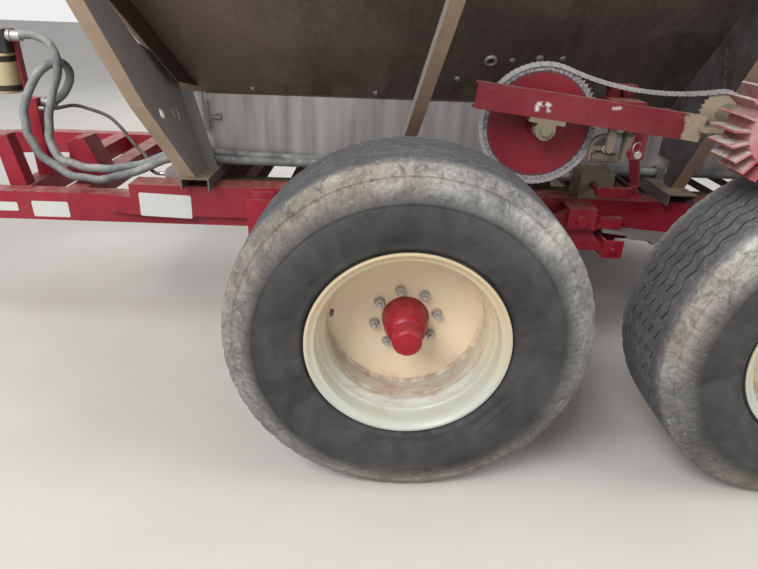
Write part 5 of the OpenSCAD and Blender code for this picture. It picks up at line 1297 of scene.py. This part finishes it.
@dataclass
class Studio:
    """The floor, the light and the camera at the photograph's viewpoint."""

    # Angles in degrees. The focal length is in pixels of a picture image_w pixels wide
    camera_at: Point = (-0.2102, 2.6985, 1.4603)
    yaw: float = -0.762
    pitch: float = 26.406
    roll: float = 2.147
    focal_px: float = 567.47
    image_w: int = 758
    sensor_mm: float = 36.0
    clip_end: float = 200.0
    floor_size: float = 60.0
    floor_tones: tuple[Colour, Colour] = ((0.56, 0.53, 0.49), (0.60, 0.57, 0.53))
    # The sky as (colour, strength): the light that it gives, and what the camera sees
    sky: tuple[Colour, float] = ((0.93, 0.96, 1.0), 0.54)
    backdrop: tuple[Colour, float] = ((0.90, 0.91, 0.92), 0.95)
    # The lamps as (name, place, power), their size and what they point at
    lamp_list: tuple[tuple[str, Point, float], ...] = (
        ("key", (3.2, 5.4, 6.0), 560.0), ("fill", (-5.5, 2.0, 4.5), 230.0), ("back", (0.5, -6.5, 5.0), 220.0))
    lamp_size: float = 4.0
    lamp_aim: Point = (-0.4, 0.4, 0.9)

    def build(self) -> None:
        """Sets the colour management and makes the floor, the world, the lamps and the camera."""
        bpy.context.scene.view_settings.view_transform = "Standard"
        self.floor()
        self.world()
        self.lamps()
        self.camera()

    def floor(self) -> None:
        """A plain pale floor at the height that the tyres stand on."""
        half = self.floor_size / 2
        corners = [(-half, -half, 0), (half, -half, 0), (half, half, 0), (-half, half, 0)]
        mesh = bpy.data.meshes.new("floor")
        mesh.from_pydata(corners, [], [[0, 1, 2, 3]])
        w = Wiring("floor")
        tone = w.mix(w.step(w.noise(1.6, 5), 0.35, 0.65), *self.floor_tones)
        mesh.materials.append(w.finish(tone, 0.9, 0.0))
        linked("floor", mesh)

    def world(self) -> None:
        """A pale sky that lights softly, and that the camera, glossy surfaces and glass see brighter."""
        world = bpy.data.worlds.new("studio")
        bpy.context.scene.world = world
        world.use_nodes = True
        nodes = world.node_tree.nodes
        links = world.node_tree.links
        light, seen = nodes["Background"], nodes.new("ShaderNodeBackground")
        for node, (colour, strength) in ((light, self.sky), (seen, self.backdrop)):
            node.inputs["Color"].default_value = (*colour, 1.0)
            node.inputs["Strength"].default_value = strength
        path = nodes.new("ShaderNodeLightPath")
        blend = nodes.new("ShaderNodeMixShader")
        seen_by = path.outputs["Is Camera Ray"]
        for ray in ("Is Glossy Ray", "Is Transmission Ray"):
            either = nodes.new("ShaderNodeMath")
            either.operation = "MAXIMUM"
            links.new(seen_by, either.inputs[0])
            links.new(path.outputs[ray], either.inputs[1])
            seen_by = either.outputs[0]
        for k, socket in enumerate((seen_by, light.outputs[0], seen.outputs[0])):
            links.new(socket, blend.inputs[k])
        links.new(blend.outputs[0], nodes["World Output"].inputs["Surface"])

    def lamps(self) -> None:
        """Wide soft lamps: over the camera's left shoulder, and weaker ones behind and on the far side."""
        for name, at, power in self.lamp_list:
            lamp = bpy.data.lights.new(name, "AREA")
            lamp.energy = power
            lamp.size = self.lamp_size
            thing = linked(name, lamp)
            aim = Vector(self.lamp_aim) - Vector(at)
            thing.location = at
            thing.rotation_euler = aim.to_track_quat("-Z", "Y").to_euler()

    def camera(self) -> None:
        """The camera: yaw, pitch and roll about its own axes, with the focal length given in pixels."""
        yaw, pitch, roll = (math.radians(a) for a in (self.yaw, self.pitch, self.roll))
        ahead = Vector((math.sin(yaw) * math.cos(pitch), -math.cos(yaw) * math.cos(pitch), -math.sin(pitch)))
        right = ahead.cross(Vector((0, 0, 1))).normalized()
        up = right.cross(ahead)
        side = math.cos(roll) * right + math.sin(roll) * up
        top = -math.sin(roll) * right + math.cos(roll) * up
        data = bpy.data.cameras.new("camera")
        data.sensor_width = self.sensor_mm
        data.lens = self.focal_px / self.image_w * self.sensor_mm
        data.clip_end = self.clip_end
        camera = linked("camera", data)
        turn = Matrix((side, top, -ahead)).transposed().to_4x4()
        camera.matrix_world = Matrix.Translation(self.camera_at) @ turn
        bpy.context.scene.camera = camera


ROUNDED_EDGES = {
    "rail_left": 0.006, "rail_right": 0.006, "crossmembers": 0.004, "drawbar_left": 0.005,
    "drawbar_right": 0.005, "spinner_frame": 0.003, "filter_stand": 0.003, "valve_box": 0.004,
    "drive_arm": 0.0025, "lift_lever": 0.002, "lift_gearbox": 0.004, "equalisers": 0.003, "axle_front": 0.004,
    "axle_rear": 0.004,
}


def dress_nodes(f: Finishes) -> None:
    """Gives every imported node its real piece's material, and rounds the edges of the large plain ones."""
    by_slot = {
        "red_paint": f.red, "stainless": f.hopper, "cream_paint": f.rim, "tyre_rubber": f.tyre,
        "bare_steel": f.steel, "dusty_iron": f.dusty, "black_paint": f.black, "hose_rubber": f.hose,
        "filter_body": f.canister,
    }
    by_node = {
        "supports_left": f.plate, "supports_right": f.plate, "cross_sills": f.rear_plate, "drive_arm": f.arm,
        "large_sprocket": f.sprocket, "drive_roller": f.roller, "chain_tensioner": f.spring,
        "jackshaft": f.dusty, "conveyor_floor": f.sheet, "gate_guides": f.sheet, "feed_gate": f.sheet,
        "spinner_left": f.sheet, "spinner_right": f.sheet,
    }
    for part in frame["record"]["subparts"]:
        name = part["node"]
        material = by_node.get(name, by_slot[part["material_slot"]])
        mesh = frame["nodes"][name].data
        mesh.materials.clear()
        mesh.materials.append(material)
        if name in ROUNDED_EDGES:
            refined(name, material, ROUNDED_EDGES[name])
        LOG.info("node %s is dressed", name)


def main() -> None:
    """Builds the studio and the spreader's pieces in order."""
    logging.basicConfig(level=logging.INFO, format="%(message)s")
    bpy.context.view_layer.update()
    Studio().build()
    finishes = Finishes()
    dress_nodes(finishes)
    for name in ("front_left", "front_right", "rear_left", "rear_right"):
        Wheel(finishes, name, name.endswith("left")).build()
    for assembly in (Hydraulics, GroundDrive, HopperTrim, Labels):
        assembly(finishes).build()


if __name__ == "__main__":
    main()
